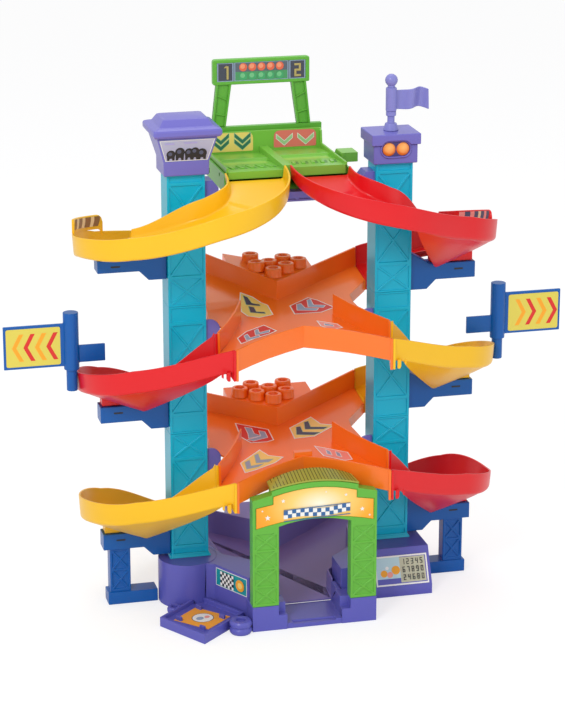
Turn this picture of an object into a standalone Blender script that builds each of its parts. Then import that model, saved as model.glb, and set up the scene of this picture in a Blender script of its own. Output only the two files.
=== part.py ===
"""Toy parking garage: two braced towers on a moulded base carry banked tracks that cross between them.

Frame: X to the viewer's right, Y to the back, Z up, in metres. The origin is on the floor, midway
between the towers. The track pieces on the left and right are mirror images.
"""
import math

import bmesh
import bpy
import numpy as np
from mathutils import Matrix, Vector

# Driving dimensions, in metres and degrees
GAP = 0.0003
BASE_DECK = 0.0236
STORY = 0.186
SHELL = 0.0025
LANE_SHELL = 0.0028
LOWER_DECK = BASE_DECK + STORY
UPPER_DECK = LOWER_DECK + STORY

TOWER_X = 0.145
TOWER_WIDTH = 0.052
TOWER_DEPTH = 0.041
TOWER_BOTTOM = 0.0646
TOWER_ABOVE = 0.2151
TOWER_TOP = UPPER_DECK + TOWER_ABOVE
TOWER_SECTIONS = 3
RIB_PITCH = 0.0648
RIB_INSET = 0.0121
RIB_WIDTH = 0.003
BRACE_WIDTH = 0.0028
FRAME_EDGE = 0.0035
RELIEF = 0.0018

DECK_SLOPE = 0.148
RIM = 0.029
CREASE_Y = -0.088
FRONT_OUTER = (0.108, -0.148)
FRONT_INNER = (0.120, -0.096)
REAR_OUTER = (0.142, 0.160)
REAR_INNER = (0.142, 0.108)
SIDE_WALL = ((0.065, 0.003), (0.0795, -0.030), (0.098, -0.063))
NOTCH_REAR = ((0.122, 0.083), (0.106, 0.062), (0.1045, 0.040))
NOTCH_FRONT = (0.086, -0.026)
VEE_TIP_Y = 0.060
VEE_DECK_HALF = 0.062
VEE_DECK_REAR = 0.136
# The left top ramp ends this much higher, and the upper crossing's left rear arm rises to meet it
WING_LIFT = 0.033
STUD_RADIUS = 0.0118
STUD_HEIGHT = 0.0115
STUD_BORE = 0.0068
STUD_DEPTH = 0.008
STUD_INSET = 0.0215
STUD_STEP_X = 0.0215
STUD_STEP_Y = 0.0135
COLLAR = 0.0034
OUTER_TRIM = (0.0018, 0.0018)
INNER_TRIM = (0.0052, 0.0046)
COLLAR_DROP = 0.014
SKIRT_DROP = 0.016

TURN_X = 0.193
TURN_RADIUS = 0.100
POST_X = 0.213
POST_RADIUS = 0.009
TURN_WALL = 0.029
TURN_DROP = 0.0776
DRAFT = 0.002
BOWL_SAG = 0.003

ARM_BASE_TOP = 0.105
ARM_RISE_LEFT = 0.1019
ARM_RISE_RIGHT = 0.0679
ARM_TOP_LEFT = UPPER_DECK + ARM_RISE_LEFT
ARM_TOP_RIGHT = UPPER_DECK + ARM_RISE_RIGHT
ARM_THICK = 0.023
ARM_THICK_LEFT = 0.0175
ARM_ROOT_EXTRA = 0.013
ARM_DEPTH = 0.027
ARM_END = 0.266
ARM_KINK_OUT = 0.209
ARM_KINK_IN = 0.196
GUSSET_END = 0.200
GUSSET_RISE = 0.018
LEG_OUT = 0.257
LEG_IN = 0.228
LEG_DEPTH = 0.020
FOOT_OUT = 0.2605
FOOT_HEIGHT = 0.018
FOOT_DEPTH = 0.027

BRACKET_REACH = 0.020
BRACKET_HEIGHT = 0.030
BRACKET_DEPTH = 0.024
BRACKET_HALF = 0.011
CHEEK_THICK = 0.0048
CHEEK_RISE = 0.0145
CHEEK_ROUND = 0.0135
BEAM_DROP = 0.0332
BEAM_TOP = TOWER_TOP - BEAM_DROP
BEAM_HEIGHT = 0.0135
BEAM_DEPTH = 0.028

PEDESTAL_RADIUS = 0.041
PEDESTAL_X = 0.148
PEDESTAL_Y = -0.014
BASE_FRONT_Y = -0.1545
BASE_BLOCK = 0.0357
LEFT_WING = ((-0.150, 0.024), (-0.112, 0.024), (-0.099, -0.020), (-0.0475, -0.066), (-0.0475, -0.1155),
             (-0.084, -0.1155), (-0.118, -0.055), (-0.150, -0.040))
RIGHT_PLAN = ((0.0475, -0.1155), (0.092, -0.1155), (0.104, -0.082), (0.1905, -0.082), (0.1905, 0.004),
              (0.176, 0.028), (0.112, 0.028), (0.099, -0.020), (0.0475, -0.066))
BOARD_X = 0.1475
BOARD_HALF = 0.0385
BOARD_FOOT_Y = -0.0830
BOARD_HEAD_Y = -0.0565
BOARD_FOOT_Z = 0.012
BOARD_LOW = 0.0050
BOARD_HIGH = 0.0470
ARCH_HALF = 0.087
ARCH_OPENING = 0.0505
ARCH_DEPTH = 0.018
ARCH_BAYS = 4
CREST_RISE = 0.0005
CREST_TOP = LOWER_DECK + CREST_RISE
STEP_FALL = 0.0086
SHOULDER_FALL = 0.0115
STEP_TOP = CREST_TOP - STEP_FALL
SHOULDER_TOP = STEP_TOP - SHOULDER_FALL
STEP_X = 0.0605
BANNER_DEPTH = 0.0526
ARCH_APEX = CREST_TOP - BANNER_DEPTH
ARCH_BOW = 0.0075
ARCH_SPRING = ARCH_APEX - ARCH_BOW
ROOF_REAR_Y = -0.1215
ROOF_RISE = 0.0064
EXIT_HALF = 0.041
EXIT_FLOOR = 0.006
TRAY_NEAR = (-0.206, -0.103)
TRAY_TIP = (-0.1595, -0.1777)
TRAY_LENGTH = 0.094
TRAY_TURN = 42.69
TRAY_HEIGHT = 0.014
TRAY_FLOOR = 0.008
TYRE_HEIGHT = 0.0095
TYRE_LEFT = (-0.1765, -0.0605)
TYRE_LEFT_RADIUS = 0.0105
TYRE_RIGHT_Y = -0.1500
TYRE_RIGHT_RADIUS = 0.0155

FLOOR_RISE = 0.0282
FRAME_FLOOR = BEAM_TOP + GAP
LAUNCH_FLOOR = FRAME_FLOOR + FLOOR_RISE
LAUNCH_FALL = 0.07
LAUNCH_BACK = 0.142
LAUNCH_HALF = 0.0845
LAUNCH_WALL = 0.0245
LAUNCH_WALL_TOP = LAUNCH_FLOOR + LAUNCH_WALL
LIP_RISE = 0.0055
LAUNCH_LIP = LAUNCH_FLOOR + LIP_RISE
FRAME_PLAY = 0.0035
FRAME_HALF = LAUNCH_HALF + FRAME_PLAY
FRAME_SIDE = 0.0257
FRAME_SIDE_TOP = FRAME_FLOOR + FRAME_SIDE
FRAME_REAR_Y = 0.148
FRAME_REAR = 0.0577
FRAME_REAR_TOP = FRAME_FLOOR + FRAME_REAR
TILT_Y = 0.030
TILT_DROP = 0.009
TILT_Z = LAUNCH_FLOOR - TILT_DROP
TILT_PIN = 0.0025
LEVER_Y = 0.092
LEVER_RISE = 0.0107
LEVER_Z = FRAME_FLOOR + LEVER_RISE
LEVER_SHAFT = 0.003
LEVER_REACH = 0.045
TAB_WIDTH = 0.024
TAB_RISE = 0.024
TAB_FRONT = 0.046

RAMP_INNER_X = 0.0055
RAMP_STEP = 0.012
RAMP_START = LAUNCH_FLOOR - RAMP_STEP
RAMP_START_Y = -0.0024
RAMP_SIDE = 0.001
RAMP_WALL = 0.018
RAMP_BEND = (0.120, -0.143)
RAMP_LEAD = (0.045, 0.021)
RAMP_ELBOW = (0.130, -0.058)
RAMP_INNER_LEAD = (0.030, 0.018)
RAMP_PULL_OUT = 0.075
RAMP_PULL_IN = 0.036
RAMP_FALL_OUT = (0.041, 0.075)
RAMP_FALL_IN = 0.034
LEFT_BOWL = (0.0095, 0.0120)
RIGHT_BOWL = (0.0315, 0.0105)
FIN_HEIGHT = 0.028
LEFT_FIN_RISE = 0.0555
RIGHT_FIN_RISE = 0.0685

GANTRY_FOOT = 0.071
GANTRY_HEAD = 0.060
GANTRY_SIGN_HALF = 0.0695
GANTRY_CLEAR = 0.0595
GANTRY_SIGN_LOW = FRAME_REAR_TOP + GANTRY_CLEAR
GANTRY_SIGN = 0.036
GANTRY_TOP = GANTRY_SIGN_LOW + GANTRY_SIGN
GANTRY_DEPTH = 0.010
GANTRY_LEG = 0.017

BOX_WAIST = 0.031
BOX_HALF = 0.041
BOX_NECK = 0.0193
BOX_WALL = 0.034
BOX_SILL = TOWER_TOP + BOX_NECK
BOX_HEAD = BOX_SILL + BOX_WALL
ROOF_HALF = 0.0465
ROOF_STEP = 0.012
ROOF_EDGE = BOX_HEAD + ROOF_STEP
ROOF_TOP = ROOF_EDGE + ROOF_STEP
LAMP_CAP_HALF = 0.031
LAMP_CAP_HEIGHT = 0.0263
LAMP_CAP_TOP = TOWER_TOP + LAMP_CAP_HEIGHT
LAMP_ROOF_HALF = 0.0345
LAMP_ROOF_HEIGHT = 0.0155
LAMP_ROOF_TOP = LAMP_CAP_TOP + LAMP_ROOF_HEIGHT
LAMP_DROP = 0.0035
LAMP_Z = LAMP_CAP_TOP - LAMP_DROP
LAMP_RADIUS = 0.0082
LAMP_SPACING = 0.0197
POLE_RADIUS = 0.0050
POLE_HEIGHT = 0.0688
POLE_TOP = LAMP_ROOF_TOP + POLE_HEIGHT
POLE_BALL = 0.0105
FLAG_LENGTH = 0.046
FLAG_CLEAR = 0.0265
FLAG_HEIGHT = 0.0335
FLAG_LOW = LAMP_ROOF_TOP + FLAG_CLEAR
FLAG_HIGH = FLAG_LOW + FLAG_HEIGHT
FLAG_SLEEVE = 0.0075

SIGN_STAND = 0.010
SIGN_X = TURN_X + TURN_RADIUS + SIGN_STAND
SIGN_Y = -0.007
SIGN_RADIUS = 0.0105
SIGN_CLEAR = 0.001
SIGN_CLIP_LOW = UPPER_DECK - TURN_DROP
SIGN_LOW = SIGN_CLIP_LOW + TURN_WALL + SIGN_CLEAR
SIGN_HEIGHT = 0.080
SIGN_HIGH = SIGN_LOW + SIGN_HEIGHT
SIGN_BORE = 0.0045
PLATE_RISE = 0.005
PLATE_HEIGHT = 0.060
PLATE_LOW = SIGN_LOW + PLATE_RISE
PLATE_HIGH = PLATE_LOW + PLATE_HEIGHT
PLATE_LENGTH = 0.092
PLATE_END = SIGN_X + PLATE_LENGTH
PLATE_THICK = 0.004
PADDLE_RISE = 0.009
PADDLE_HEIGHT = 0.024
PADDLE_LOW = SIGN_LOW + PADDLE_RISE
PADDLE_HIGH = PADDLE_LOW + PADDLE_HEIGHT
PADDLE_LENGTH = 0.046
PADDLE_END = SIGN_X - PADDLE_LENGTH

# Linear RGB colours
TEAL = (0.0, 0.36, 0.50)
BLUE = (0.0, 0.085, 0.36)
VIOLET = (0.14, 0.13, 0.50)
YELLOW = (0.93, 0.53, 0.018)
RED = (0.75, 0.014, 0.02)
ORANGE = (0.91, 0.145, 0.02)
GREEN = (0.13, 0.45, 0.05)
LIGHT_GREEN = (0.25, 0.55, 0.12)
OLIVE = (0.38, 0.40, 0.05)
AMBER = (0.9, 0.45, 0.08)
PALE = (0.75, 0.75, 0.85)

SIDES = ((-1, "left"), (1, "right"))
TOWER_INNER = TOWER_X - TOWER_WIDTH / 2
TOWER_OUTER = TOWER_X + TOWER_WIDTH / 2


def clear_scene():
    """Remove whatever objects the file opened with."""
    for old in list(bpy.data.objects):
        bpy.data.objects.remove(old)


def plastic(name, colour, roughness=0.35):
    """A moulded plastic, shared by the pieces of that colour."""
    material = bpy.data.materials.get(name)
    if material is None:
        material = bpy.data.materials.new(name)
        material.use_nodes = True
        shader = material.node_tree.nodes["Principled BSDF"]
        shader.inputs["Base Color"].default_value = (*colour, 1.0)
        shader.inputs["Roughness"].default_value = roughness
        shader.inputs["Metallic"].default_value = 0.0
        material.diffuse_color = (*colour, 1.0)
    return material


def side_matrix(side):
    """Identity on the right, mirrored in X on the left."""
    return Matrix.Diagonal((side, 1.0, 1.0, 1.0))


def outward(shape):
    """Turn the faces of a closed shape out, if they point in."""
    if shape.calc_volume(signed=True) < 0:
        bmesh.ops.reverse_faces(shape, faces=shape.faces)
    return shape


def placed(shape, place):
    """Move a closed shape and keep its faces pointing out."""
    shape.transform(place)
    if place.determinant() < 0:
        bmesh.ops.reverse_faces(shape, faces=shape.faces)
    return shape


def block(low, high):
    """A box between two corners."""
    low, high = Vector(low), Vector(high)
    shape = bmesh.new()
    bmesh.ops.create_cube(shape, size=1.0)
    size = Matrix.Diagonal((*(abs(high[i] - low[i]) for i in range(3)), 1.0))
    return placed(shape, Matrix.Translation((low + high) / 2) @ size)


def rod(start, end, radius, sides=20, end_radius=None):
    """A round bar, or a cone, from one point to another."""
    start, end = Vector(start), Vector(end)
    shape = bmesh.new()
    top = radius if end_radius is None else end_radius
    bmesh.ops.create_cone(shape, cap_ends=True, segments=sides, radius1=radius, radius2=top,
                          depth=(end - start).length)
    turn = (end - start).to_track_quat("Z", "Y").to_matrix().to_4x4()
    return placed(shape, Matrix.Translation((start + end) / 2) @ turn)


def ball(centre, radius, rings=8, sides=14):
    """A sphere."""
    shape = bmesh.new()
    bmesh.ops.create_uvsphere(shape, u_segments=sides, v_segments=rings, radius=radius)
    return placed(shape, Matrix.Translation(centre))


def together(*shapes):
    """Several closed shapes in one mesh."""
    whole = bmesh.new()
    for shape in shapes:
        mesh = bpy.data.meshes.new("piece")
        shape.to_mesh(mesh)
        shape.free()
        whole.from_mesh(mesh)
        bpy.data.meshes.remove(mesh)
    return whole


def prism(outlines, low, high, place=None):
    """Flat outlines, each a loop of (u, v), extruded along w between two levels."""
    low, high = min(low, high), max(low, high)
    curve = bpy.data.curves.new("outline", "CURVE")
    curve.dimensions = "2D"
    curve.fill_mode = "BOTH"
    curve.extrude = (high - low) / 2
    for outline in outlines:
        spline = curve.splines.new("POLY")
        spline.points.add(len(outline) - 1)
        for point, (u, v) in zip(spline.points, outline):
            point.co = (u, v, 0.0, 1.0)
        spline.use_cyclic_u = True
    holder = bpy.data.objects.new("outline", curve)
    bpy.context.scene.collection.objects.link(holder)
    bpy.context.view_layer.update()
    solved = holder.evaluated_get(bpy.context.evaluated_depsgraph_get())
    mesh = bpy.data.meshes.new_from_object(solved)
    shape = bmesh.new()
    shape.from_mesh(mesh)
    bpy.data.meshes.remove(mesh)
    bpy.data.objects.remove(holder)
    bpy.data.curves.remove(curve)
    bmesh.ops.remove_doubles(shape, verts=shape.verts, dist=0.00001)
    lift = Matrix.Translation((0.0, 0.0, (low + high) / 2))
    return placed(outward(shape), (place or Matrix.Identity(4)) @ lift)


def facing(origin, u_axis, v_axis):
    """A frame whose u and v axes are given, for an outline that does not lie flat."""
    u_axis, v_axis = Vector(u_axis).normalized(), Vector(v_axis).normalized()
    w_axis = u_axis.cross(v_axis)
    turn = Matrix((u_axis, v_axis, w_axis)).transposed().to_4x4()
    return Matrix.Translation(origin) @ turn


def upright(outlines, front, back):
    """Outlines in X and Z, extruded in Y between two planes."""
    return prism(outlines, -back, -front, facing((0, 0, 0), (1, 0, 0), (0, 0, 1)))


def crosswise(outlines, near, far):
    """Outlines in Y and Z, extruded in X between two planes."""
    return prism(outlines, near, far, facing((0, 0, 0), (0, 1, 0), (0, 0, 1)))


def shear(level, slope=DECK_SLOPE):
    """Lift a flat shape on to a deck that rises towards the back."""
    tilt = Matrix.Identity(4)
    tilt[2][1] = slope
    return Matrix.Translation((0.0, 0.0, level)) @ tilt


def add_object(name, shape, material):
    """Put a shape in the model as a named piece."""
    mesh = bpy.data.meshes.new(name)
    shape.to_mesh(mesh)
    shape.free()
    mesh.materials.append(material)
    piece = bpy.data.objects.new(name, mesh)
    MODEL.objects.link(piece)
    return piece


def operand(piece, shape, operation):
    """Join a shape to a piece, or cut it away, with a Boolean modifier."""
    mesh = bpy.data.meshes.new(piece.name + "_" + operation.lower())
    shape.to_mesh(mesh)
    shape.free()
    tool = bpy.data.objects.new(mesh.name, mesh)
    tool.hide_render = True
    tool.display_type = "WIRE"
    CUTTERS.objects.link(tool)
    modifier = piece.modifiers.new(operation.title(), "BOOLEAN")
    modifier.operation = operation
    modifier.object = tool
    modifier.solver = "EXACT"
    return piece


def join(piece, shape):
    """Union one closed shape, or several that do not touch each other."""
    return operand(piece, shape, "UNION")


def cut(piece, shape):
    """Cut closed shapes away."""
    return operand(piece, shape, "DIFFERENCE")


def smooth_round(piece, angle=35.0):
    """Shade a round piece smooth, with its corners sharp."""
    piece.data.shade_smooth()
    piece.data.set_sharp_from_angle(angle=math.radians(angle))
    return piece


def arc(centre, radius, start, end, steps):
    """Points on an arc, angles in degrees."""
    angles = np.radians(np.linspace(start, end, steps + 1))
    return [(centre[0] + radius * math.cos(a), centre[1] + radius * math.sin(a)) for a in angles]


def bezier(a, b, c, d, steps):
    """Points on a cubic Bezier curve, without its first point."""
    points = []
    for t in np.linspace(0, 1, steps + 1)[1:]:
        weights = ((1 - t) ** 3, 3 * t * (1 - t) ** 2, 3 * t * t * (1 - t), t ** 3)
        points.append(tuple(sum(w * p[i] for w, p in zip(weights, (a, b, c, d))) for i in (0, 1)))
    return points


def straight(a, b, steps):
    """Points from a to b, without the first."""
    return [tuple(a[i] + (b[i] - a[i]) * t for i in (0, 1)) for t in np.linspace(0, 1, steps + 1)[1:]]


def tangent_angle(point, centre, radius, turn):
    """Angle on a circle, in degrees, where the line from a point touches it."""
    dx, dy = point[0] - centre[0], point[1] - centre[1]
    return math.degrees(math.atan2(dy, dx) + turn * math.acos(radius / math.hypot(dx, dy)))


def eased(stations, values, wanted):
    """Smooth curve through values at stations that never overshoots them."""
    stations, values = np.array(stations, float), np.array(values, float)
    wanted = np.array(wanted, float)
    widths = np.diff(stations)
    slopes = np.diff(values) / widths
    tangents = np.empty_like(values)
    tangents[0], tangents[-1] = slopes[0], slopes[-1]
    for i in range(1, len(slopes)):
        product = slopes[i - 1] * slopes[i]
        tangents[i] = 2 * product / (slopes[i - 1] + slopes[i]) if product > 0 else 0.0
    cell = np.clip(np.searchsorted(stations, wanted, side="right") - 1, 0, len(widths) - 1)
    h = widths[cell]
    t = (wanted - stations[cell]) / h
    return ((1 + 2 * t) * (1 - t) ** 2 * values[cell] + t * (1 - t) ** 2 * h * tangents[cell]
            + t * t * (3 - 2 * t) * values[cell + 1] + t * t * (t - 1) * h * tangents[cell + 1])


def offset(line, width):
    """An open line of points moved to its left by an even width."""
    points = [Vector(p) for p in line]
    moved = []
    for i, point in enumerate(points):
        before = (point - points[i - 1]).normalized() if i else None
        after = (points[i + 1] - point).normalized() if i + 1 < len(points) else None
        one, two = before or after, after or before
        normal = Vector((-one.y - two.y, one.x + two.x)).normalized()
        reach = width / max(normal.dot(Vector((-one.y, one.x))), 0.3)
        moved.append(tuple(point + normal * reach))
    return moved


def band(line, width):
    """Outline of a strip of even width on the left of an open line of points."""
    return list(line) + offset(line, width)[::-1]


def trimmed(line, at_start, at_end):
    """The same line, shortened a little at its ends."""
    points = [Vector(p) for p in line]
    points[0] = points[0] + (points[1] - points[0]).normalized() * at_start
    points[-1] = points[-1] + (points[-2] - points[-1]).normalized() * at_end
    return [tuple(p) for p in points]


def deck_height(level, y):
    """Top of a tilted deck at a depth."""
    return level + DECK_SLOPE * y


def tower_braces(z_low, z_high, x_low, x_high):
    """Pocket outlines that leave a frame, level ribs and crossed braces standing."""
    pockets = []
    left, right = x_low + FRAME_EDGE, x_high - FRAME_EDGE
    ribs = [TOWER_TOP - RIB_INSET - i * RIB_PITCH for i in range(12)]
    levels = [z_low] + sorted(z for z in ribs if z_low < z < z_high) + [z_high]
    for low, high in zip(levels, levels[1:]):
        bottom, top = low + RIB_WIDTH / 2 + 0.001, high - RIB_WIDTH / 2 - 0.001
        pockets += braced_bay(left, right, bottom, top)
    return pockets


def braced_bay(left, right, bottom, top):
    """Pockets of one bay: four triangles round crossed braces, or one plain pocket if it is low."""
    width, height = right - left, top - bottom
    if height < 0.006:
        return []
    if height < 0.6 * width:
        return [[(left, bottom), (right, bottom), (right, top), (left, top)]]
    diagonal = math.hypot(width, height)
    up = BRACE_WIDTH / 2 * diagonal / width
    across = BRACE_WIDTH / 2 * diagonal / height
    mid_x, mid_z = (left + right) / 2, (bottom + top) / 2
    return [[(left, bottom + up), (mid_x - across, mid_z), (left, top - up)],
            [(right, bottom + up), (right, top - up), (mid_x + across, mid_z)],
            [(left + across, bottom), (right - across, bottom), (mid_x, mid_z - up)],
            [(left + across, top), (mid_x, mid_z + up), (right - across, top)]]


def make_towers():
    """Two towers of three stacked sections, with crossed braces in relief front and back."""
    step = (TOWER_TOP - TOWER_BOTTOM) / TOWER_SECTIONS
    teal = plastic("teal_plastic", TEAL)
    for side, word in SIDES:
        x_low, x_high = side * TOWER_X - TOWER_WIDTH / 2, side * TOWER_X + TOWER_WIDTH / 2
        for index in range(TOWER_SECTIONS):
            low = TOWER_BOTTOM + index * step + GAP
            high = TOWER_BOTTOM + (index + 1) * step
            name = "tower_" + word + "_" + ("lower", "middle", "upper")[index]
            piece = add_object(name, block((x_low, -TOWER_DEPTH / 2, low), (x_high, TOWER_DEPTH / 2, high)), teal)
            pockets = tower_braces(low, high, x_low, x_high)
            front, back = -TOWER_DEPTH / 2, TOWER_DEPTH / 2
            cut(piece, together(upright(pockets, front - 0.002, front + RELIEF),
                                upright(pockets, back - RELIEF, back + 0.002)))


def make_arm(name, side, top, thick, with_leg):
    """A blue arm out of a tower, with a raised root, and on the lowest level a leg and foot bar."""
    root = TOWER_OUTER + GAP
    outline = [(root, top + GUSSET_RISE), (GUSSET_END, top), (ARM_END, top), (ARM_END, top - thick),
               (ARM_KINK_OUT, top - thick), (ARM_KINK_IN, top - thick - ARM_ROOT_EXTRA),
               (root, top - thick - ARM_ROOT_EXTRA)]
    shape = placed(upright([outline], -ARM_DEPTH / 2, ARM_DEPTH / 2), side_matrix(side))
    piece = add_object(name, shape, plastic("blue_plastic", BLUE))
    if with_leg:
        foot_in = TOWER_X + PEDESTAL_RADIUS + 0.0045
        leg = upright([[(LEG_OUT, top - thick / 2), (LEG_IN, top - thick / 2), (LEG_IN, FOOT_HEIGHT / 2),
                        (LEG_OUT, FOOT_HEIGHT / 2)]], -LEG_DEPTH / 2, LEG_DEPTH / 2)
        join(piece, placed(leg, side_matrix(side)))
        foot = block((side * FOOT_OUT, -FOOT_DEPTH / 2, 0.0), (side * foot_in, FOOT_DEPTH / 2, FOOT_HEIGHT))
        join(piece, foot)
        bays = []
        low, high = FOOT_HEIGHT + 0.004, top - thick - 0.004
        middle = (low + high) / 2
        for bottom, ceiling in ((low, middle - 0.0015), (middle + 0.0015, high)):
            bays += braced_bay(LEG_IN + FRAME_EDGE, LEG_OUT - FRAME_EDGE, bottom, ceiling)
        relief = upright(bays, -LEG_DEPTH / 2 - 0.002, -LEG_DEPTH / 2 + RELIEF)
        cut(piece, placed(relief, side_matrix(side)))
    return piece


def turn_paths():
    """Outer and inner plan lines of a U-turn, with the share of the way at each point."""
    centre, post = (TURN_X, 0.0), (POST_X, 0.0)
    first = tangent_angle(FRONT_OUTER, centre, TURN_RADIUS, 1)
    last = tangent_angle(REAR_OUTER, centre, TURN_RADIUS, -1)
    around = arc(centre, TURN_RADIUS, first, last, 12)
    outer = [FRONT_OUTER] + straight(FRONT_OUTER, around[0], 4)[:-1] + around
    outer += straight(around[-1], REAR_OUTER, 4)
    first = tangent_angle(FRONT_INNER, post, POST_RADIUS, 1)
    last = tangent_angle(REAR_INNER, post, POST_RADIUS, -1)
    close = arc(post, POST_RADIUS, first, last, 12)
    inner = [FRONT_INNER] + straight(FRONT_INNER, close[0], 4)[:-1] + close
    inner += straight(close[-1], REAR_INNER, 4)
    return outer, inner, (0, 4, 10, 16, 20)


def ramp_paths():
    """Outer and inner plan lines of a top ramp, from the launcher to the rear junction."""
    centre, post = (TURN_X, 0.0), (POST_X, 0.0)
    first = tangent_angle(FRONT_OUTER, centre, TURN_RADIUS, 1)
    last = tangent_angle(REAR_OUTER, centre, TURN_RADIUS, -1)
    around = arc(centre, TURN_RADIUS, first, last, 12)
    bend = RAMP_BEND
    heading = (around[0][0] - RAMP_LEAD[0], around[0][1] - RAMP_LEAD[1])
    start = (RAMP_INNER_X, RAMP_START_Y)
    outer = [start] + bezier(start, (RAMP_INNER_X, -RAMP_PULL_OUT), (bend[0] - RAMP_PULL_OUT, bend[1]), bend, 9)
    outer += bezier(bend, (bend[0] + RAMP_PULL_IN, bend[1]), heading, around[0], 5)[:-1] + around
    outer += straight(around[-1], REAR_OUTER, 4)
    first, last = -60.0, tangent_angle(REAR_INNER, post, POST_RADIUS, -1)
    close = arc(post, POST_RADIUS, first, last, 12)
    start = (LAUNCH_HALF + RAMP_SIDE, RAMP_START_Y)
    elbow = RAMP_ELBOW
    leading = (close[0][0] - RAMP_INNER_LEAD[0], close[0][1] - RAMP_INNER_LEAD[1])
    inner = [start] + bezier(start, (start[0], -RAMP_PULL_IN), (elbow[0] - RAMP_PULL_IN, elbow[1]), elbow, 9)
    inner += bezier(elbow, (elbow[0] + RAMP_PULL_IN, elbow[1]), leading, close[0], 5)[:-1] + close
    inner += straight(close[-1], REAR_INNER, 4)
    return outer, inner, (0, 9, 14, 20, 26, 30)


def lane_rows(outer, inner, marks, outer_floor, inner_floor, outer_wall, inner_wall, trim):
    """Section points of a banked lane, from the outer rim across the floor to the inner rim."""
    count = len(outer)
    share = np.arange(count)
    zo, zi = eased(marks, outer_floor, share), eased(marks, inner_floor, share)
    wo, wi = eased(marks, outer_wall, share), eased(marks, inner_wall, share)
    outer, inner = [Vector(p) for p in outer], [Vector(p) for p in inner]
    for line, at_start, at_end in ((outer, *trim[0]), (inner, *trim[1])):
        line[0] += (line[1] - line[0]).normalized() * at_start
        line[-1] += (line[-2] - line[-1]).normalized() * at_end
    rows = []
    for o, i, z_out, z_in, high, low in zip(outer, inner, zo, zi, wo, wi):
        across = (i - o).normalized()
        foot_out, foot_in = o + across * DRAFT, i - across * DRAFT
        middle = (foot_out + foot_in) / 2
        sag = BOWL_SAG if abs(z_out - z_in) > 0.004 else 0.0
        rows.append([(*o, z_out + high), (*foot_out, z_out), (*middle, (z_out + z_in) / 2 - sag),
                     (*foot_in, z_in), (*i, z_in + low)])
    return rows


def lane_surface(rows, side):
    """The open upper surface of a lane, its faces pointing up and into the channel."""
    shape = bmesh.new()
    grid = [[shape.verts.new((side * x, y, z)) for x, y, z in row] for row in rows]
    for one, two in zip(grid, grid[1:]):
        for k in range(len(one) - 1):
            corners = (one[k], one[k + 1], two[k + 1], two[k])
            shape.faces.new(corners if side < 0 else corners[::-1])
    return shape


def collar(outer, inner, floor_out, floor_in, wall_out, wall_in, reach):
    """The thick end of a track piece, a channel section in the plane of its junction.

    Outline u runs from the outer corner to the inner one, and reach is the way in from the plane.
    """
    width = math.dist(outer, inner)
    lip = 0.0032
    step = 0.0005
    floor_out, floor_in = floor_out - step, floor_in - step
    profile = [(-lip, floor_out + wall_out), (-step, floor_out + wall_out), (DRAFT - step, floor_out),
               (width - DRAFT + step, floor_in), (width + step, floor_in + wall_in),
               (width + lip, floor_in + wall_in), (width + lip, floor_in - COLLAR_DROP),
               (-lip, floor_out - COLLAR_DROP)]
    along = Vector((inner[0] - outer[0], inner[1] - outer[1], 0.0))
    near, far = sorted(reach)
    return prism([profile], near, far, facing((*outer, 0.0), along, (0, 0, 1)))


def thicken(piece):
    """Turn the open lane surface into a moulded shell."""
    shell = piece.modifiers.new("Shell", "SOLIDIFY")
    shell.thickness = LANE_SHELL
    shell.offset = -1.0
    shell.use_quality_normals = True
    return piece


def rest_block(rows, side, top, inner_x, outer_x, half):
    """A tapered rest under the bowl, from the arm up into the thickness of the floor."""
    shape = block((inner_x, -half, 0.0), (outer_x, half, 1.0))
    ends = {}
    for x in (inner_x, outer_x):
        for y in (-half, half):
            ends[(x, y)] = surface_height(rows, x, y) - SHELL * 0.6
    for vertex in shape.verts:
        x = min((inner_x, outer_x), key=lambda v: abs(v - vertex.co.x))
        y = min((-half, half), key=lambda v: abs(v - vertex.co.y))
        vertex.co.z = ends[(x, y)] if vertex.co.z > 0.5 else top + GAP * 2
    return placed(shape, side_matrix(side))


def surface_height(rows, x, y):
    """Height of the lane surface over a point in plan."""
    for one, two in zip(rows, rows[1:]):
        for k in range(1, 3):
            corners = (one[k], one[k + 1], two[k + 1], two[k])
            for triangle in (corners[:3], (corners[0], corners[2], corners[3])):
                (ax, ay, az), (bx, by, bz), (cx, cy, cz) = triangle
                area = (bx - ax) * (cy - ay) - (cx - ax) * (by - ay)
                if abs(area) < 1e-12:
                    continue
                v = ((x - ax) * (cy - ay) - (cx - ax) * (y - ay)) / area
                w = ((bx - ax) * (y - ay) - (x - ax) * (by - ay)) / area
                if v >= -0.001 and w >= -0.001 and v + w <= 1.002:
                    return az + v * (bz - az) + w * (cz - az)
    return rows[len(rows) // 2][2][2]


def arm_height(level):
    """Top of the arm that carries the bowl below a deck."""
    return ARM_BASE_TOP + level - LOWER_DECK


def fold_rate():
    """Slope in plan of the fold line from the V's tip to the open edge beside the tower."""
    return (VEE_TIP_Y - NOTCH_REAR[-1][1]) / NOTCH_REAR[-1][0]


def wing_lift(x, y, rise):
    """Extra height at a plan point of a crossing whose left rear arm ends a rise higher.

    The arm bends up behind the fold line, and the left half of the V goes up with it.
    """
    full = REAR_OUTER[1] - VEE_TIP_Y + fold_rate() * REAR_OUTER[0]
    behind = (y - VEE_TIP_Y - fold_rate() * x) / full
    return rise * max(0.0, min(behind, -x / REAR_OUTER[0]))


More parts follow.
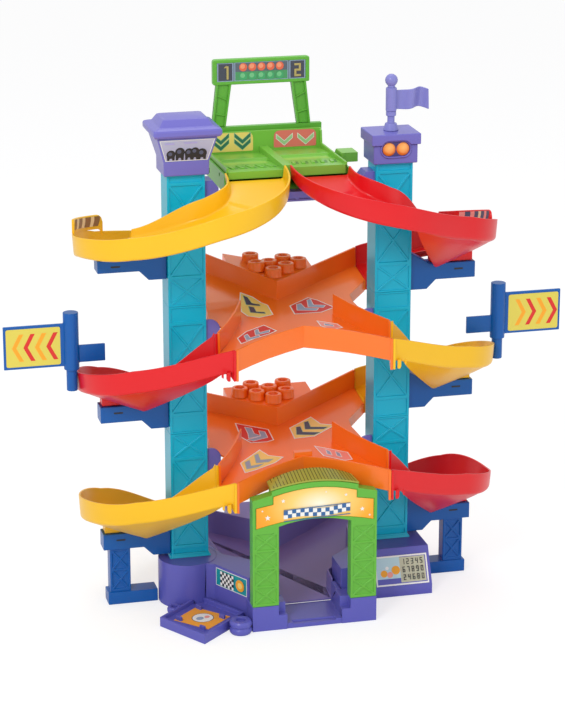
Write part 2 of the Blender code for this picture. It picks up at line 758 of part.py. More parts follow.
def bent(shape, rise):
    """The same shape with the part in a crossing's left rear arm bent up along the fold lines."""
    if not rise:
        return shape
    vee_rate = (REAR_OUTER[1] - VEE_TIP_Y) / REAR_OUTER[0]
    tip = (0.0, VEE_TIP_Y, 0.0)
    middle, fold, vee = (1.0, 0.0, 0.0), (-fold_rate(), 1.0, 0.0), (vee_rate, 1.0, 0.0)
    for normal in (middle, fold, vee):
        faces = [face for face in shape.faces if normal == middle or face.calc_center_median().x < 0]
        edges = {edge for face in faces for edge in face.edges}
        points = {point for face in faces for point in face.verts}
        bmesh.ops.bisect_plane(shape, geom=[*faces, *edges, *points], plane_co=tip, plane_no=normal, dist=1e-6)
    for point in shape.verts:
        point.co.z += wing_lift(point.co.x, point.co.y, rise)
    return shape


def make_turn(name, side, level, material):
    """A U-turn bowl round the outside of a tower, from one deck down to the next."""
    outer, inner, marks = turn_paths()
    arm_top = arm_height(level)
    mid = level - TURN_DROP
    zo = [deck_height(level, FRONT_OUTER[1]), mid + 0.0185, mid, mid - 0.028,
          deck_height(level - STORY, REAR_OUTER[1])]
    zi = [deck_height(level, FRONT_INNER[1]), arm_top + 0.019, arm_top + 0.0095, arm_top + 0.0060,
          deck_height(level - STORY, REAR_INNER[1])]
    rows = lane_rows(outer, inner, marks, zo, zi, (RIM, TURN_WALL, TURN_WALL, TURN_WALL, RIM),
                     (RIM, 0.010, 0.006, 0.006, 0.012), (OUTER_TRIM, INNER_TRIM))
    piece = thicken(add_object(name, lane_surface(rows, side), material))
    finish_turn(piece, rows, side, arm_top, zo[-1], zi[-1])
    front = collar(FRONT_OUTER, FRONT_INNER, zo[0], zi[0], RIM, RIM, (GAP / 2, COLLAR))
    join(piece, placed(front, side_matrix(side)))
    return piece


def finish_turn(piece, rows, side, arm_top, end_outer, end_inner):
    """The centre post, the rest on the arm and the rear collar that every bowl has."""
    post = rod((side * POST_X, 0, arm_top + GAP), (side * POST_X, 0, arm_top + 0.024),
               POST_RADIUS + DRAFT + 0.0006, 18)
    join(piece, post)
    join(piece, rest_block(rows, side, arm_top, POST_X + 0.006, ARM_END - 0.003, 0.009))
    rear = collar(REAR_OUTER, REAR_INNER, end_outer, end_inner, RIM, 0.012, (-GAP / 2, -COLLAR))
    join(piece, placed(rear, side_matrix(side)))


def make_ramp(name, side, arm_top, bowl, fin_span, material):
    """A top ramp from the launcher, curving out in front of a tower and round behind it.

    The bowl gives the outer and inner floor above the arm. The fin is a raised plate on the outer
    wall: its start and end angles, its top and its fall.
    """
    outer, inner, marks = ramp_paths()
    outer_mid, inner_mid = arm_top + bowl[0], arm_top + bowl[1]
    end_outer, end_inner = [deck_height(UPPER_DECK, y) + wing_lift(side * x, y, WING_LIFT)
                            for x, y in (REAR_OUTER, REAR_INNER)]
    outer_late = max(outer_mid - 0.030, end_outer + 0.010)
    zo = [RAMP_START, RAMP_START - RAMP_FALL_OUT[0], RAMP_START - RAMP_FALL_OUT[1], outer_mid, outer_late, end_outer]
    zi = [RAMP_START, RAMP_START - RAMP_FALL_IN, inner_mid + 0.018, inner_mid, inner_mid - 0.003, end_inner]
    walls_out = (RAMP_WALL, 0.030, 0.029, 0.026, 0.028, RIM)
    walls_in = (0.012, 0.026, 0.010, 0.006, 0.006, 0.012)
    rows = lane_rows(outer, inner, marks, zo, zi, walls_out, walls_in,
                     ((0.0, OUTER_TRIM[1]), (0.0, INNER_TRIM[1])))
    piece = thicken(add_object(name, lane_surface(rows, side), material))
    finish_turn(piece, rows, side, arm_top, end_outer, end_inner)
    start, end, top, fall = fin_span
    line = arc((TURN_X, 0), TURN_RADIUS - 0.0004, start, end, 8)
    back = arc((TURN_X, 0), TURN_RADIUS + 0.0022, start, end, 8)
    fin = placed(prism([line + back[::-1]], 0.0, FIN_HEIGHT), shear(top - FIN_HEIGHT, -fall))
    join(piece, placed(fin, side_matrix(side)))
    return piece


def front_line():
    """Half of the front wall's plan line, bowed back a little, from the crease to the junction."""
    mid = ((FRONT_OUTER[0]) * 0.52, (CREASE_Y + FRONT_OUTER[1]) / 2 + 0.004)
    first = (0.0, CREASE_Y)
    middle = ((first[0] + mid[0]) / 2, (first[1] + mid[1]) / 2 + 0.001)
    late = ((FRONT_OUTER[0] + mid[0]) / 2, (FRONT_OUTER[1] + mid[1]) / 2 + 0.001)
    return [first, middle, mid, late, FRONT_OUTER]


def side_line():
    """Plan line of the wall behind a front arm, from its free end to the junction."""
    return [*SIDE_WALL, FRONT_INNER]


def notch_line():
    """Plan line of the open edge beside the tower, from the rear junction to the side wall."""
    reach = TOWER_INNER - BRACKET_REACH / 2
    cheek = TOWER_INNER - BRACKET_REACH - GAP * 2
    edge = GAP * 2 - BRACKET_HALF
    return [REAR_INNER, *NOTCH_REAR, (reach, BRACKET_HALF), (reach, edge + GAP), (cheek, edge), NOTCH_FRONT]


def mirrored(points):
    """The same points on the other side, in the opposite order."""
    return [(-x, y) for x, y in points[::-1]]


def make_crossing(name, level, lone_stud, with_seat, rise):
    """An X-shaped crossing deck: a front wall, two side walls and a studded V at the back.

    Its left rear arm ends a rise higher than the right one.
    """
    front, sides, notch = front_line(), side_line(), notch_line()
    slope_x = REAR_OUTER[0]
    vee_rate = (REAR_OUTER[1] - VEE_TIP_Y) / slope_x
    deck_corner = (VEE_DECK_HALF, VEE_TIP_Y + vee_rate * VEE_DECK_HALF + 0.004)
    whole_front = trimmed(mirrored(front[1:]) + front, 0.0012, 0.0012)
    edge = offset(whole_front, -SHELL / 2)[len(front) - 1:]
    inner_corner = (FRONT_INNER[0] - 0.0012, FRONT_INNER[1] + 0.0004)
    rear_inner, rear_outer = (REAR_INNER[0] - 0.0012, REAR_INNER[1]), (REAR_OUTER[0] - 0.0012, REAR_OUTER[1])
    half = edge + [inner_corner] + sides[::-1][1:3] + notch[:0:-1] + [rear_inner, rear_outer, deck_corner,
                                                                      (VEE_DECK_HALF, VEE_DECK_REAR)]
    outline = half + mirrored(half[1:])
    floor = prism([outline], -SHELL, 0.0)
    orange = plastic("orange_plastic", ORANGE)
    piece = add_object(name, bent(placed(floor, shear(level)), rise), orange)
    front_wall = prism([band(whole_front, -SHELL)], -SHELL * 0.6, RIM)
    walls = [front_wall]
    for side, word in SIDES:
        line = trimmed(sides, 0.0, 0.0035)
        wall = prism([band(line, SHELL)], -SHELL * 0.6, RIM)
        walls.append(placed(wall, side_matrix(side)))
    join(piece, bent(placed(together(*walls), shear(level)), rise))
    vee_rim = RIM - 0.002
    tip = (0.0, VEE_TIP_Y)
    outer_end = (REAR_OUTER[0] - 0.0012, REAR_OUTER[1] - 0.0012 * vee_rate)
    vee = [tip, (outer_end[0], outer_end[1]), (outer_end[0], outer_end[1] + SHELL * 1.25),
           (VEE_DECK_HALF, deck_corner[1] - 0.0008), (VEE_DECK_HALF - 0.0008, VEE_DECK_REAR - 0.0008)]
    vee_outline = vee + mirrored(vee[1:])
    join(piece, bent(placed(prism([vee_outline], -SHELL * 0.6, vee_rim), shear(level)), rise))
    inset = 0.003
    pocket = [(0.0, VEE_TIP_Y + inset * 1.7), (VEE_DECK_HALF - inset, deck_corner[1] - 0.001),
              (VEE_DECK_HALF - inset, VEE_DECK_REAR - inset)]
    hollow = prism([pocket + mirrored(pocket[1:])], -0.02, vee_rim - SHELL)
    cut(piece, bent(placed(hollow, shear(level)), rise))
    skirts = []
    for side, word in SIDES:
        edge = notch[:4]
        skirt = prism([band(trimmed(edge, 0.0018, 0.0), -SHELL)], -SKIRT_DROP, -SHELL * 0.4)
        skirts.append(placed(skirt, side_matrix(side)))
    join(piece, bent(placed(together(*skirts), shear(level)), rise))
    studs, bores = [], []
    row = VEE_TIP_Y + STUD_INSET
    spots = [(0.0, row), (-STUD_STEP_X, row + STUD_STEP_Y), (STUD_STEP_X, row + STUD_STEP_Y),
             (0.0, row + 2 * STUD_STEP_Y), (lone_stud * 2 * STUD_STEP_X, row + 2 * STUD_STEP_Y),
             (-1.1 * STUD_STEP_X, row + 3 * STUD_STEP_Y), (1.1 * STUD_STEP_X, row + 3 * STUD_STEP_Y)]
    for x, y in spots:
        base = deck_height(level, y) + wing_lift(x, y, rise) + vee_rim
        studs.append(rod((x, y, base - 0.0012), (x, y, base + STUD_HEIGHT), STUD_RADIUS, 16, STUD_RADIUS * 0.95))
        bores.append(rod((x, y, base + STUD_HEIGHT - STUD_DEPTH), (x, y, base + STUD_HEIGHT + 0.01), STUD_BORE, 12))
    join(piece, together(*studs))
    cut(piece, together(*bores))
    extras = []
    for side, word in SIDES:
        arm = collar(FRONT_OUTER, FRONT_INNER, deck_height(level, FRONT_OUTER[1]),
                     deck_height(level, FRONT_INNER[1]), RIM, RIM, (-GAP / 2, -COLLAR))
        extras.append(placed(arm, side_matrix(side)))
        ends = [deck_height(level, y) + wing_lift(side * x, y, rise) for x, y in (REAR_OUTER, REAR_INNER)]
        rear = collar(REAR_OUTER, REAR_INNER, *ends, vee_rim, 0.0008, (GAP / 2, COLLAR))
        extras.append(placed(rear, side_matrix(side)))
    join(piece, together(*extras))
    if with_seat:
        low, high = deck_height(level, CREASE_Y) + 0.010, deck_height(level, CREASE_Y) + RIM + 0.005
        join(piece, block((-0.0125, CREASE_Y - 0.0012, low), (0.0125, CREASE_Y + 0.008, high)))
    return piece


def make_brackets():
    """Purple brackets on the towers' inner faces, which carry the crossings and the top beam."""
    violet = plastic("violet_plastic", VIOLET)
    for level, word in ((UPPER_DECK, "upper"), (LOWER_DECK, "lower")):
        top = level - BRACKET_HALF * DECK_SLOPE - SHELL - GAP
        for side, side_word in SIDES:
            inner, outer = TOWER_INNER - BRACKET_REACH, TOWER_INNER - GAP
            outline = [(outer, top), (inner + 0.004, top), (inner, top - 0.004), (inner, top - 0.018),
                       (inner + 0.008, top - BRACKET_HEIGHT), (outer, top - BRACKET_HEIGHT)]
            shape = upright([outline], -BRACKET_HALF, BRACKET_DEPTH - BRACKET_HALF)
            bracket = add_object("bracket_" + word + "_" + side_word, placed(shape, side_matrix(side)), violet)
            crown = top + CHEEK_RISE
            dome = arc((inner + CHEEK_ROUND, crown - CHEEK_ROUND), CHEEK_ROUND, 90, 180, 8)
            tab = [(outer, crown)] + dome + [(inner, top - BRACKET_HEIGHT + 0.012),
                                             (inner + 0.010, top - BRACKET_HEIGHT - 0.001),
                                             (outer, top - BRACKET_HEIGHT - 0.001)]
            cheek = upright([tab], -BRACKET_HALF - CHEEK_THICK, -BRACKET_HALF + 0.0002)
            join(bracket, placed(cheek, side_matrix(side)))
    span = TOWER_INNER - GAP
    low = BEAM_TOP - BEAM_HEIGHT
    cheek = TOWER_INNER - BRACKET_REACH
    outline = [(-span, low - 0.004), (-cheek, low - 0.004), (-cheek + 0.006, low), (cheek - 0.006, low),
               (cheek, low - 0.004), (span, low - 0.004), (span, BEAM_TOP + 0.022), (cheek + 0.008, BEAM_TOP + 0.022),
               (cheek, BEAM_TOP + 0.012), (cheek, BEAM_TOP), (-cheek, BEAM_TOP), (-cheek, BEAM_TOP + 0.012),
               (-cheek - 0.008, BEAM_TOP + 0.022), (-span, BEAM_TOP + 0.022)]
    beam = add_object("top_beam", upright([outline], -BEAM_DEPTH / 2, BEAM_DEPTH / 2), violet)
    truss = []
    count = 9
    bay = 2 * (cheek - 0.010) / count
    for i in range(count):
        left = -cheek + 0.010 + i * bay
        truss.append([(left + 0.001, low + 0.0025), (left + bay - 0.001, low + 0.0025),
                      (left + bay / 2, BEAM_TOP - 0.0025)])
    cut(beam, upright(truss, -BEAM_DEPTH / 2 - 0.002, -BEAM_DEPTH / 2 + RELIEF))


def make_base():
    """The base: two pedestals, the merging deck, the exit frame, the pit tray and tyre stacks."""
    violet = plastic("violet_plastic", VIOLET)
    top = TOWER_BOTTOM
    pedestal = rod((-PEDESTAL_X, PEDESTAL_Y, 0), (-PEDESTAL_X, PEDESTAL_Y, top), PEDESTAL_RADIUS, 32)
    left = add_object("base_left", pedestal, violet)
    join(left, prism([LEFT_WING], 0.0, top - 0.0006))
    right = add_object("base_right", prism([RIGHT_PLAN], 0.0, top), violet)
    head_z = top + 0.004
    low_x, high_x = RIGHT_PLAN[2][0] + 0.0005, RIGHT_PLAN[3][0] + 0.0055
    bevel = crosswise([[(BOARD_FOOT_Y, BOARD_FOOT_Z), (BOARD_HEAD_Y, head_z), (BOARD_FOOT_Y - 0.007, head_z)]],
                      low_x, high_x)
    cut(right, bevel)
    panel_low, panel_high = Vector((BOARD_X, BOARD_FOOT_Y, BOARD_FOOT_Z)), Vector((BOARD_X, BOARD_HEAD_Y, head_z))
    place = facing(panel_low, (1, 0, 0), panel_high - panel_low)
    board = prism([[(-BOARD_HALF, BOARD_LOW), (BOARD_HALF, BOARD_LOW), (BOARD_HALF, BOARD_HIGH),
                    (-BOARD_HALF, BOARD_HIGH)]], GAP, 0.0012 + GAP, place)
    add_object("scoreboard_panel", board, plastic("pale_print", PALE, 0.4))

    make_base_deck(BASE_DECK, violet)
    make_exit_frame(violet)
    make_pit(violet)


def make_base_deck(level, violet):
    """The deck that takes both lanes from the rear and leads them out through the arch."""
    notch_x = 0.1045
    vee_rate = (REAR_OUTER[1] - VEE_TIP_Y) / REAR_OUTER[0]
    rear_corner = (VEE_DECK_HALF, VEE_TIP_Y + vee_rate * VEE_DECK_HALF + 0.004)
    half = [(EXIT_HALF + 0.003, CREASE_Y), (EXIT_HALF + 0.003, -0.062),
            (0.094, -0.016), (notch_x - 0.002, 0.055), (REAR_INNER[0] - 0.0012, REAR_INNER[1]),
            (REAR_OUTER[0] - 0.0012, REAR_OUTER[1]), rear_corner,
            (VEE_DECK_HALF, VEE_DECK_REAR)]
    outline = half + mirrored(half)
    deck = add_object("base_deck", placed(prism([outline], -SHELL, 0.0), shear(level)), violet)
    walls = []
    for side, word in SIDES:
        inner_wall = [(EXIT_HALF, CREASE_Y + 0.001), (EXIT_HALF, -0.062), (0.0925, -0.016),
                      (notch_x - 0.003, 0.055), (REAR_INNER[0] - 0.0036, REAR_INNER[1] - 0.0045)]
        wall = prism([band(inner_wall, -SHELL)], -SHELL * 0.6, RIM)
        walls.append(placed(wall, side_matrix(side)))
    join(deck, placed(together(*walls), shear(level)))
    tip = (0.0, VEE_TIP_Y)
    outer_end = (REAR_OUTER[0] - 0.0012, REAR_OUTER[1] - 0.0012 * vee_rate)
    vee = [tip, outer_end, (outer_end[0], outer_end[1] + SHELL * 1.25),
           (VEE_DECK_HALF, rear_corner[1] - 0.0008), (VEE_DECK_HALF - 0.0008, VEE_DECK_REAR - 0.0008)]
    join(deck, placed(prism([vee + mirrored(vee[1:])], -SHELL * 0.6, RIM + 0.006), shear(level)))
    feet = []
    for side, word in SIDES:
        rear = collar(REAR_OUTER, REAR_INNER, deck_height(level, REAR_OUTER[1]),
                      deck_height(level, REAR_INNER[1]), RIM, 0.012, (GAP / 2, COLLAR))
        feet.append(placed(rear, side_matrix(side)))
    join(deck, together(*feet))
    posts = []
    for side, word in SIDES:
        for x, y in ((REAR_OUTER[0] - 0.008, REAR_INNER[1] + 0.012), (REAR_OUTER[0] - 0.008, REAR_OUTER[1] - 0.014),
                     (0.070, 0.072), (0.030, -0.030)):
            posts.append(rod((side * x, y, 0.0), (side * x, y, deck_height(level, y) - SHELL / 2), 0.006, 10))
    for y in (0.0, VEE_DECK_REAR - 0.02):
        posts.append(rod((0, y, 0.0), (0, y, deck_height(level, y) - SHELL / 2), 0.008, 12))
    join(deck, together(*posts))


def make_exit_frame(violet):
    """The front of the base: the exit lane, the sill and the two blocks that the arch stands on."""
    front, rear = BASE_FRONT_Y, -0.1165
    join_y = CREASE_Y - GAP
    outer, inner = ARCH_HALF, 0.0475
    floor = block((-EXIT_HALF - 0.003, front + 0.001, 0.0), (EXIT_HALF + 0.003, join_y, EXIT_FLOOR + 0.002))
    piece = add_object("exit_frame", floor, violet)
    blocks = []
    for side, word in SIDES:
        blocks.append(block((side * 0.0385, front, 0.0), (side * (ARCH_HALF + 0.0005), rear, BASE_BLOCK)))
    join(piece, together(*blocks))
    walls = []
    for side, word in SIDES:
        walls.append(block((side * (EXIT_HALF - 0.0005), rear - 0.004, 0.001), (side * (inner - 0.001), join_y, 0.036)))
    join(piece, together(*walls))
    steps = []
    for side, word in SIDES:
        steps.append(block((side * 0.030, front - 0.01, 0.0215), (side * 0.0505, -0.142, 0.05)))
    cut(piece, together(*steps))
    cut(piece, block((-0.030, front - 0.01, EXIT_FLOOR), (0.030, front + 0.010, 0.012)))


def make_pit(violet):
    """The pit tray in front of the left pedestal, with wheel chocks, and the two tyre stacks."""
    near, tip = Vector(TRAY_NEAR), Vector(TRAY_TIP)
    along = Vector((math.cos(math.radians(TRAY_TURN)), math.sin(math.radians(TRAY_TURN))))
    length = TRAY_LENGTH
    corners = [near, tip, tip + along * length, near + along * length]
    tray = add_object("pit_tray", prism([[tuple(c) for c in corners]], 0.0, TRAY_HEIGHT), violet)
    centre = sum(corners, Vector((0, 0))) / 4
    inside = [tuple(centre + (c - centre) * 0.90) for c in corners]
    cut(tray, prism([inside], TRAY_FLOOR, TRAY_HEIGHT + 0.01))
    clear = PEDESTAL_RADIUS + GAP
    cut(tray, rod((-PEDESTAL_X, PEDESTAL_Y, -0.01), (-PEDESTAL_X, PEDESTAL_Y, 0.05), clear, 32))
    corner, facet = LEFT_WING[5], LEFT_WING[6]
    cut(tray, prism([[(facet[0] - GAP, facet[1] + 0.0005), (corner[0] - GAP, corner[1] + 0.0002),
                      (-0.02, corner[1] + 0.0002), (-0.02, 0.02), (facet[0] - GAP, 0.02)]], -0.01, 0.05))
    right_x = -ARCH_HALF - 0.0005 - TYRE_RIGHT_RADIUS - GAP
    cut(tray, rod((right_x, TYRE_RIGHT_Y, -0.01), (right_x, TYRE_RIGHT_Y, 0.05), TYRE_RIGHT_RADIUS + GAP, 24))
    cut(tray, block((-ARCH_HALF - 0.001, BASE_FRONT_Y - 0.002, -0.01), (-0.02, -0.1, 0.05)))
    across = (tip - near).normalized()
    chocks = []
    for u in (0.22, 0.72):
        for v in (0.24, 0.76):
            spot = near + along * length * u + (tip - near) * v
            place = facing((*spot, 0), (*along, 0), (*across, 0))
            chocks.append(prism([[(-0.002, -0.005), (0.002, -0.005), (0.002, 0.005), (-0.002, 0.005)]],
                                -TRAY_FLOOR - 0.006, -TRAY_FLOOR + 0.001, place))
    join(tray, together(*chocks))
    tyre_height = TYRE_HEIGHT
    for x, y, radius, count, word in ((*TYRE_LEFT, TYRE_LEFT_RADIUS, 1, "left"),
                                      (right_x, TYRE_RIGHT_Y, TYRE_RIGHT_RADIUS, 2, "right")):
        hole = radius * 0.45
        profile = []
        for i in range(count):
            base = i * tyre_height
            profile += [(radius - 0.002, base), (radius, base + 0.003), (radius, base + tyre_height - 0.003),
                        (radius - 0.002, base + tyre_height)]
        profile.append((hole, count * tyre_height))
        profile.append((hole, count * tyre_height - 0.005))
        smooth_round(add_object("tyre_stack_" + word, turned(profile, (x, y, 0.0), 18), violet))


def turned(profile, centre, sides):
    """A closed round shape from a profile of (radius, height), made with a Screw modifier."""
    points = [(0.0, profile[0][1])] + profile + [(0.0, profile[-1][1])]
    mesh = bpy.data.meshes.new("profile")
    mesh.from_pydata([(r, 0.0, z) for r, z in points], [(i, i + 1) for i in range(len(points) - 1)], [])
    holder = bpy.data.objects.new("profile", mesh)
    bpy.context.scene.collection.objects.link(holder)
    screw = holder.modifiers.new("Turn", "SCREW")
    screw.steps = sides
    screw.render_steps = sides
    screw.use_merge_vertices = True
    screw.merge_threshold = 0.00001
    screw.use_normal_calculate = True
    bpy.context.view_layer.update()
    solved = holder.evaluated_get(bpy.context.evaluated_depsgraph_get())
    shape = bmesh.new()
    shape.from_mesh(solved.to_mesh())
    solved.to_mesh_clear()
    bpy.data.objects.remove(holder)
    bmesh.ops.remove_doubles(shape, verts=shape.verts, dist=0.00001)
    return placed(outward(shape), Matrix.Translation(centre))


def arch_line(z_side, z_mid, half, steps):
    """Points of a shallow arc from left to right."""
    points = []
    for i in range(steps + 1):
        x = -half + 2 * half * i / steps
        points.append((x, z_mid - (z_mid - z_side) * (x / half) ** 2))
    return points


def make_arch():
    """The green arch over the exit, its tiled roof and its printed banner."""
    green = plastic("green_plastic", GREEN)
    front, back = BASE_FRONT_Y + 0.0008, BASE_FRONT_Y + ARCH_DEPTH
    base = BASE_BLOCK + GAP
    outline = [(-ARCH_HALF, base), (-ARCH_OPENING, base)]
    outline += arch_line(ARCH_SPRING, ARCH_APEX, ARCH_OPENING, 8)
    outline += [(ARCH_OPENING, base), (ARCH_HALF, base), (ARCH_HALF, SHOULDER_TOP), (STEP_X, SHOULDER_TOP + 0.006)]
    outline += arch_line(STEP_TOP, CREST_TOP, STEP_X, 8)[::-1]
    outline += [(-STEP_X, SHOULDER_TOP + 0.006), (-ARCH_HALF, SHOULDER_TOP)]
    piece = add_object("arch", upright([outline], front, back), green)
    bays = []
    low, high = base + 0.004, ARCH_SPRING - 0.006
    for i in range(ARCH_BAYS):
        step = (high - low) / ARCH_BAYS
        bottom, top = low + i * step, low + (i + 1) * step - RIB_WIDTH
        bays += braced_bay(-ARCH_HALF + FRAME_EDGE, -ARCH_OPENING - FRAME_EDGE, bottom, top)
        bays += braced_bay(ARCH_OPENING + FRAME_EDGE, ARCH_HALF - FRAME_EDGE, bottom, top)
    banner = [(-ARCH_HALF + 0.004, ARCH_SPRING - 0.002), (-ARCH_HALF + 0.004, SHOULDER_TOP - 0.011),
              (-STEP_X + 0.0015, SHOULDER_TOP - 0.007)]
    crest = [(x, z - 0.0075) for x, z in arch_line(STEP_TOP, CREST_TOP, STEP_X - 0.0015, 8)]
    lower = [(x, z + 0.0018) for x, z in arch_line(ARCH_SPRING - 0.003, ARCH_APEX, ARCH_HALF - 0.004, 10)]
    banner = banner[1:] + crest + [(-x, z) for x, z in banner[1:][::-1]] + lower[::-1]
    cut(piece, upright(bays + [banner], front - 0.002, front + 0.0014))
    grown = [(x * 0.993, z) for x, z in banner]
    add_object("arch_banner", upright([shrink(grown, 0.0006)], front + 0.0005, front + 0.0014 - GAP),
               plastic("amber_print", AMBER, 0.4))
    make_roof()


def shrink(outline, amount):
    """An outline drawn in towards its middle by a small amount."""
    mid = Vector((sum(x for x, z in outline) / len(outline), sum(z for x, z in outline) / len(outline)))
    result = []
    for point in outline:
        away = Vector(point) - mid
        result.append((point[0] - math.copysign(min(amount, abs(away.x)), away.x),
                       point[1] - math.copysign(min(amount, abs(away.y)), away.y)))
    return result


def make_roof():
    """The curved roof: a loft between a low front arc and a higher rear arc, stood on the arch."""
    steps = 10
    front = BASE_FRONT_Y + 0.002
    shape = bmesh.new()
    rows = []
    for x_half, z_side, z_mid, y in ((STEP_X + 0.001, STEP_TOP, CREST_TOP, front),
                                           (STEP_X - 0.001, STEP_TOP + 0.0010, CREST_TOP + ROOF_RISE, ROOF_REAR_Y)):
        upper = arch_line(z_side + GAP + SHELL, z_mid + GAP + SHELL, x_half, steps)
        lower = arch_line(z_side + GAP, z_mid + GAP, x_half, steps)
        rows.append(([shape.verts.new((x, y, z)) for x, z in upper], [shape.verts.new((x, y, z)) for x, z in lower]))
    (front_up, front_low), (rear_up, rear_low) = rows
    for i in range(steps):
        shape.faces.new((front_up[i], front_up[i + 1], rear_up[i + 1], rear_up[i]))
        shape.faces.new((front_low[i + 1], front_low[i], rear_low[i], rear_low[i + 1]))
        shape.faces.new((front_low[i], front_low[i + 1], front_up[i + 1], front_up[i]))
        shape.faces.new((rear_low[i + 1], rear_low[i], rear_up[i], rear_up[i + 1]))
    shape.faces.new((front_low[0], front_up[0], rear_up[0], rear_low[0]))
    shape.faces.new((rear_low[-1], rear_up[-1], front_up[-1], front_low[-1]))
    add_object("arch_roof", outward(shape), plastic("olive_plastic", OLIVE))


def make_launcher():
    """The fixed launcher frame, the tilting start tray, its lever, and the gantry."""
    green = plastic("green_plastic", GREEN)
    light = plastic("light_green_plastic", LIGHT_GREEN)
    inner = FRAME_HALF - SHELL
    rear = FRAME_REAR_Y + GANTRY_DEPTH
    shell = block((-FRAME_HALF, 0.0, FRAME_FLOOR), (FRAME_HALF, rear, FRAME_SIDE_TOP))
    frame = add_object("launcher_frame", shell, green)
    cut(frame, block((-inner, -0.01, FRAME_FLOOR + SHELL), (inner, FRAME_REAR_Y, FRAME_SIDE_TOP + 0.01)))
    join(frame, block((-FRAME_HALF + 0.001, FRAME_REAR_Y + 0.0006, FRAME_SIDE_TOP - 0.01),
                      (FRAME_HALF - 0.001, rear - 0.0006, FRAME_REAR_TOP)))
    holes = []
    for side, word in SIDES:
        holes.append(rod((side * (inner - 0.002), TILT_Y, TILT_Z), (side * (FRAME_HALF + 0.002), TILT_Y, TILT_Z),
                         TILT_PIN + GAP, 14))
        holes.append(rod((side * (inner - 0.002), LEVER_Y, LEVER_Z), (side * (FRAME_HALF + 0.002), LEVER_Y, LEVER_Z),
                         LEVER_SHAFT + GAP, 14))
    cut(frame, together(*holes))
    make_start_tray(light)
    make_lever(light)
    make_gantry(green)


def make_start_tray(light):
    """The two-lane tray that tips forward on its pins to let the cars go."""
    def floor_at(y):
        return LAUNCH_FLOOR - LAUNCH_FALL * y
    front, back = 0.0015, LAUNCH_BACK
    nose = floor_at(front)
    floor = crosswise([[(front, nose), (front, nose - 0.006), (front + 0.004, nose - 0.003),
                        (back, floor_at(back) - 0.003), (back, floor_at(back))]], -LAUNCH_HALF, LAUNCH_HALF)
    tray = add_object("start_tray", floor, light)
    wall = [(front + 0.0005, floor_at(front) - 0.002), (back - 0.0004, floor_at(back) - 0.002),
            (back - 0.0004, LAUNCH_WALL_TOP), (back - 0.018, LAUNCH_WALL_TOP), (0.030, LAUNCH_LIP + 0.0035),
            (front + 0.0005, LAUNCH_LIP)]
    sides = [crosswise([wall], side * (LAUNCH_HALF - 0.0003), side * (LAUNCH_HALF - SHELL)) for side, word in SIDES]
    divider = [(front + 0.0005, floor_at(front) - 0.002), (back - 0.0004, floor_at(back) - 0.002),
               (back - 0.0004, LAUNCH_WALL_TOP), (back - 0.018, LAUNCH_WALL_TOP), (0.040, LAUNCH_LIP + 0.0085),
               (front + 0.0005, LAUNCH_LIP + 0.002)]
    join(tray, together(*sides, crosswise([divider], -0.0062, 0.0062)))
    join(tray, block((-LAUNCH_HALF + 0.0006, back - SHELL, floor_at(back) - 0.0014),
                     (LAUNCH_HALF - 0.0006, back - 0.0002, LAUNCH_WALL_TOP - 0.0006)))
    pins = [rod((side * (LAUNCH_HALF - 0.0015), TILT_Y, TILT_Z), (side * (FRAME_HALF - 0.0002), TILT_Y, TILT_Z),
                TILT_PIN, 14) for side, word in SIDES]
    ears = [block((side * (LAUNCH_HALF - 0.0006), TILT_Y - 0.004, TILT_Z - 0.0035),
                  (side * (LAUNCH_HALF - 0.0030), TILT_Y + 0.004, floor_at(TILT_Y) - 0.0012)) for side, word in SIDES]
    join(tray, together(*ears))
    join(tray, together(*pins))


def make_lever(light):
    """The release lever: a shaft under the tray, a finger tab outside and a lifting arm inside."""
    shaft = rod((-FRAME_HALF + 0.0005, LEVER_Y, LEVER_Z), (FRAME_HALF + 0.006, LEVER_Y, LEVER_Z), LEVER_SHAFT, 14)
    lever = add_object("release_lever", shaft, light)
    near = FRAME_HALF + GAP * 2
    crown, tip = LEVER_Z + TAB_RISE, LEVER_Y - TAB_FRONT
    arm = [(LEVER_Y + 0.005, LEVER_Z - 0.0045), (LEVER_Y + 0.006, LEVER_Z + 0.003), (LEVER_Y - 0.014, crown),
           (tip, crown), (tip, crown - 0.006), (LEVER_Y - 0.020, crown - 0.006), (LEVER_Y - 0.006, LEVER_Z - 0.004)]
    join(lever, crosswise([arm], near, near + 0.005))
    join(lever, block((near + 0.0005, tip + 0.0005, crown - 0.0125),
                      (FRAME_HALF + TAB_WIDTH, LEVER_Y - 0.0155, crown + 0.0007)))
    underside = LAUNCH_FLOOR - LAUNCH_FALL * (LEVER_Y + LEVER_REACH) - 0.003 - GAP
    lift = [(LEVER_Y - 0.0025, LEVER_Z - 0.0022), (LEVER_Y + LEVER_REACH, LEVER_Z - 0.002),
            (LEVER_Y + LEVER_REACH, underside), (LEVER_Y + LEVER_REACH - 0.004, underside),
            (LEVER_Y + LEVER_REACH - 0.008, LEVER_Z + 0.0022), (LEVER_Y - 0.0025, LEVER_Z + 0.0022)]
    join(lever, crosswise([lift], -0.008, 0.008))


